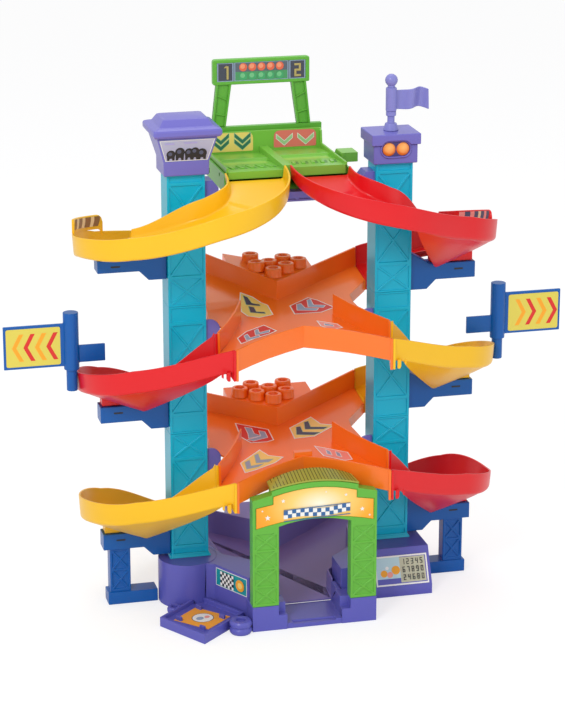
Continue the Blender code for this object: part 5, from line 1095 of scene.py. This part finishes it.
def make_caps():
    """The domed roof of the spectators' box and the hooded lamps of the other cap, with painted shade in the recess
    round the lamps.
    """
    (x0, y0, z0), (x1, y1, z1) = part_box("box_roof")
    half_x, half_y = (x1 - x0) / 2, (y1 - y0) / 2
    steps = ((0.0042, 0.0), (0.0016, 0.0012), (0.0, 0.0040), (0.0, 0.0092), (0.0012, 0.0112), (0.0035, 0.0122),
             (0.0100, 0.0140), (0.0108, 0.0150), (0.0150, 0.0215), (0.0160, 0.0228), (0.0186, 0.0237))
    roof = stacked([(half_x - inset, half_y - inset, z0 + rise) for inset, rise in steps],
                   ((x0 + x1) / 2, (y0 + y1) / 2), 0.0032)
    put("box_roof_dome", roof, "violet", swaps=("box_roof",), sharp=28)
    (x0, y0, z0), (_, _, z1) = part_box("lamp_lens_left")
    x1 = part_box("lamp_lens_right")[1][0]
    centre_x, centre_z, radius = (x0 + x1) / 2, (z0 + z1) / 2 - 0.0022, 0.0098
    reach = (x1 - x0) / 2 - (z1 - z0) / 2
    dome = [(0, 0), (0.0091, 0), (0.0089, 0.0004), (0.0078, 0.0010), (0.0050, 0.0016), (0, 0.0019)]
    for side, word in SIDES:
        put("lamp_dome_" + word, lathe(dome, (centre_x + side * reach, -0.0260, centre_z), 40, (0, -1, 0)),
            "lamp_" + word, swaps=("lamp_lens_" + word,), sharp=60)

    def oval(grow):
        """An outline round both lamps."""
        return [(u + (reach if u > 0 else -reach), v) for u, v in disc(0, 0, radius + grow, 48)]

    profile = ((0.0, 0.0012), (0.0004, -0.0012), (0.0014, -0.0019), (0.0026, -0.0012), (0.0030, 0.0012))
    rings = [[(centre_x + u, y0 + 0.0002 + forward, centre_z + v) for u, v in oval(grow)]
             for grow, forward in profile]
    put("lamp_bezel", loft(rings, ()), "violet", sharp=60)
    # Painted shade: a dark violet oval on the back of the recess behind the lamp domes
    print_on("lamp_shade", [("painted_shade_violet", oval(0))], upright(-0.0259, centre_x, centre_z), lift=0.0001)


# Small moulded details

def make_details():
    """Feet of the towers, painted shade in the slots of the arms, and stud rims."""
    for side, word in SIDES:
        sections = [(TOWER_WIDTH / 2 + grow, TOWER_DEPTH / 2 + grow, TOWER_BOTTOM + rise)
                    for grow, rise in ((0.0032, 0.0003), (0.0030, 0.0018), (0.0014, 0.0036), (0.0003, 0.0058))]
        put("tower_foot_" + word, stacked(sections, (side * TOWER_X, 0), 0.002, 3), "teal")
        left, right = side * 0.2415 - 0.0065, side * 0.2415 + 0.0065
        # Dark marks on the arms' fronts: painted shade where the slots are
        items = [("dark", round_rect(left, top - 0.0105, right, top - 0.0080, 0.0012, steps=3))
                 for top in (ARM_BASE_TOP, ARM_BASE_TOP + STORY, ARM_TOP_LEFT if side < 0 else ARM_TOP_RIGHT)]
        print_on("arm_slot_painted_shade_" + word, items, upright(-ARM_DEPTH / 2))
    profile = [(0.0116, -0.0010), (0.01225, -0.0010), (0.01222, 0.0004), (0.01195, 0.0016), (0.0117, 0.0092),
               (0.0116, 0.0106), (0.0110, 0.01165), (0.0100, 0.0120), (0.0080, 0.0120), (0.0072, 0.0116),
               (0.0066, 0.0106), (0.0064, 0.0040), (0.0060, 0.0036), (0.0, 0.0036)]
    row, step_x, step_y = 0.0815, 0.0215, 0.0135
    for level, lone, word in ((UPPER_DECK, 1, "upper"), (LOWER_DECK, -1, "lower")):
        cups = []
        for across, back in ((0, 0), (-1, 1), (1, 1), (0, 2), (lone * 2, 2), (-1.1, 3), (1.1, 3)):
            x, y = across * step_x, row + back * step_y
            base = level + DECK_SLOPE * y + RIM - 0.002 + (wing_lift(x, y) if level == UPPER_DECK else 0.0)
            cups.append(lathe([(r, base + z) for r, z in profile], (x, y, 0.0), 40))
        put("stud_rims_" + word, merged(*cups), "orange", sharp=60)


def make_flag():
    """The waving flag and its sleeve, in place of the faceted ones."""
    low, high, sleeve, length, thick = 0.679, 0.7125, 0.0075, 0.046, 0.0028
    steps, rows = 44, 14
    front, back = [], []
    for i in range(steps + 1):
        u = i / steps
        slack = u ** 0.5
        sway = 0.0022 * math.sin(2 * math.pi * u + 0.5)
        column = []
        for j in range(rows + 1):
            v = j / rows
            y = 0.0058 * math.sin(3.2 * math.pi * u - 0.6 * (v - 0.5)) * slack
            z = low + 0.0024 + v * (high - low - 0.0072) - sway * slack + 0.0012 * (v - 0.5) * u
            column.append((TOWER_X + sleeve - 0.0015 + u * length, y, z))
        front.append([(x, y - thick / 2, z) for x, y, z in column])
        back.append([(x, y + thick / 2, z) for x, y, z in column])
    put("flag_sheet", sheet(front, back), "flag_violet", "flag", bevel=0.0007, swaps=("flag",))
    profile = [(0.0053, low), (sleeve - 0.0008, low), (sleeve, low + 0.0009), (sleeve, high - 0.0021),
               (sleeve - 0.0008, high - 0.0012), (0.0053, high - 0.0012), (0.0053, low)]
    put("flag_sleeve", lathe(profile, (TOWER_X, 0, 0), 40), "flag_violet", "flag")


# Stage

def make_stage():
    """A plain pale floor, soft light and the camera of the photograph."""
    mesh = bpy.data.meshes.new("floor")
    mesh.from_pydata([(*corner, 0) for corner in rect(-FLOOR_HALF, -FLOOR_HALF, FLOOR_HALF, FLOOR_HALF)], [],
                     [(0, 1, 2, 3)])
    floor = bpy.data.objects.new("floor", mesh)
    SCENE.collection.objects.link(floor)
    material, tree, shader = new_material("floor_white", 0.9)
    shader.inputs["Base Color"].default_value = (0.90, 0.90, 0.91, 1.0)
    shader.inputs["Specular IOR Level"].default_value = 0.0
    half = add(tree, "Math", [(1, FLOOR_SHARE)], [(0, add(tree, "LightPath").outputs["Is Camera Ray"])])
    half.operation = "MULTIPLY"
    white = add(tree, "Emission", [("Strength", FLOOR_GLOW)])
    blend = add(tree, "MixShader", (), [("Fac", half.outputs["Value"]), (1, shader.outputs["BSDF"]),
                                        (2, white.outputs["Emission"])])
    tree.links.new(blend.outputs["Shader"], tree.nodes["Material Output"].inputs["Surface"])
    mesh.materials.append(material)
    world = bpy.data.worlds.new("studio")
    world.use_nodes = True
    tree = world.node_tree
    rays = add(tree, "LightPath").outputs["Is Camera Ray"]
    strength = add(tree, "MapRange", [("To Min", SKY_LIGHT), ("To Max", 1.0)], [("Value", rays)])
    tree.nodes["Background"].inputs["Color"].default_value = (1.0, 1.0, 1.0, 1.0)
    tree.links.new(strength.outputs["Result"], tree.nodes["Background"].inputs["Strength"])
    SCENE.world = world
    for name, place, aim, size, power in LAMPS:
        lamp = bpy.data.lights.new(name, "AREA")
        lamp.shape = "DISK"
        lamp.size = size
        lamp.energy = power
        holder = bpy.data.objects.new(name, lamp)
        SCENE.collection.objects.link(holder)
        holder.location = place
        holder.rotation_euler = (Vector(aim) - Vector(place)).to_track_quat("-Z", "Y").to_euler()
    azimuth, elevation = math.radians(CAMERA_AZIMUTH), math.radians(CAMERA_ELEVATION)
    ahead = Vector((-math.sin(azimuth) * math.cos(elevation), math.cos(azimuth) * math.cos(elevation),
                    -math.sin(elevation)))
    lens = bpy.data.cameras.new("camera")
    lens.lens = CAMERA_LENS
    lens.sensor_width = 36.0
    camera = bpy.data.objects.new("camera", lens)
    SCENE.collection.objects.link(camera)
    camera.location = CAMERA_PLACE
    camera.rotation_euler = ahead.to_track_quat("-Z", "Y").to_euler()
    SCENE.camera = camera
    SCENE.view_settings.view_transform = "Standard"


make_bodies()
make_lanes()
make_details()
make_flag()
make_deck_stickers()
make_tray()
make_gantry()
make_caps()
make_launch_prints()
make_cap_prints()
make_arch_prints()
make_base_prints()
make_signs_prints()
make_stage()
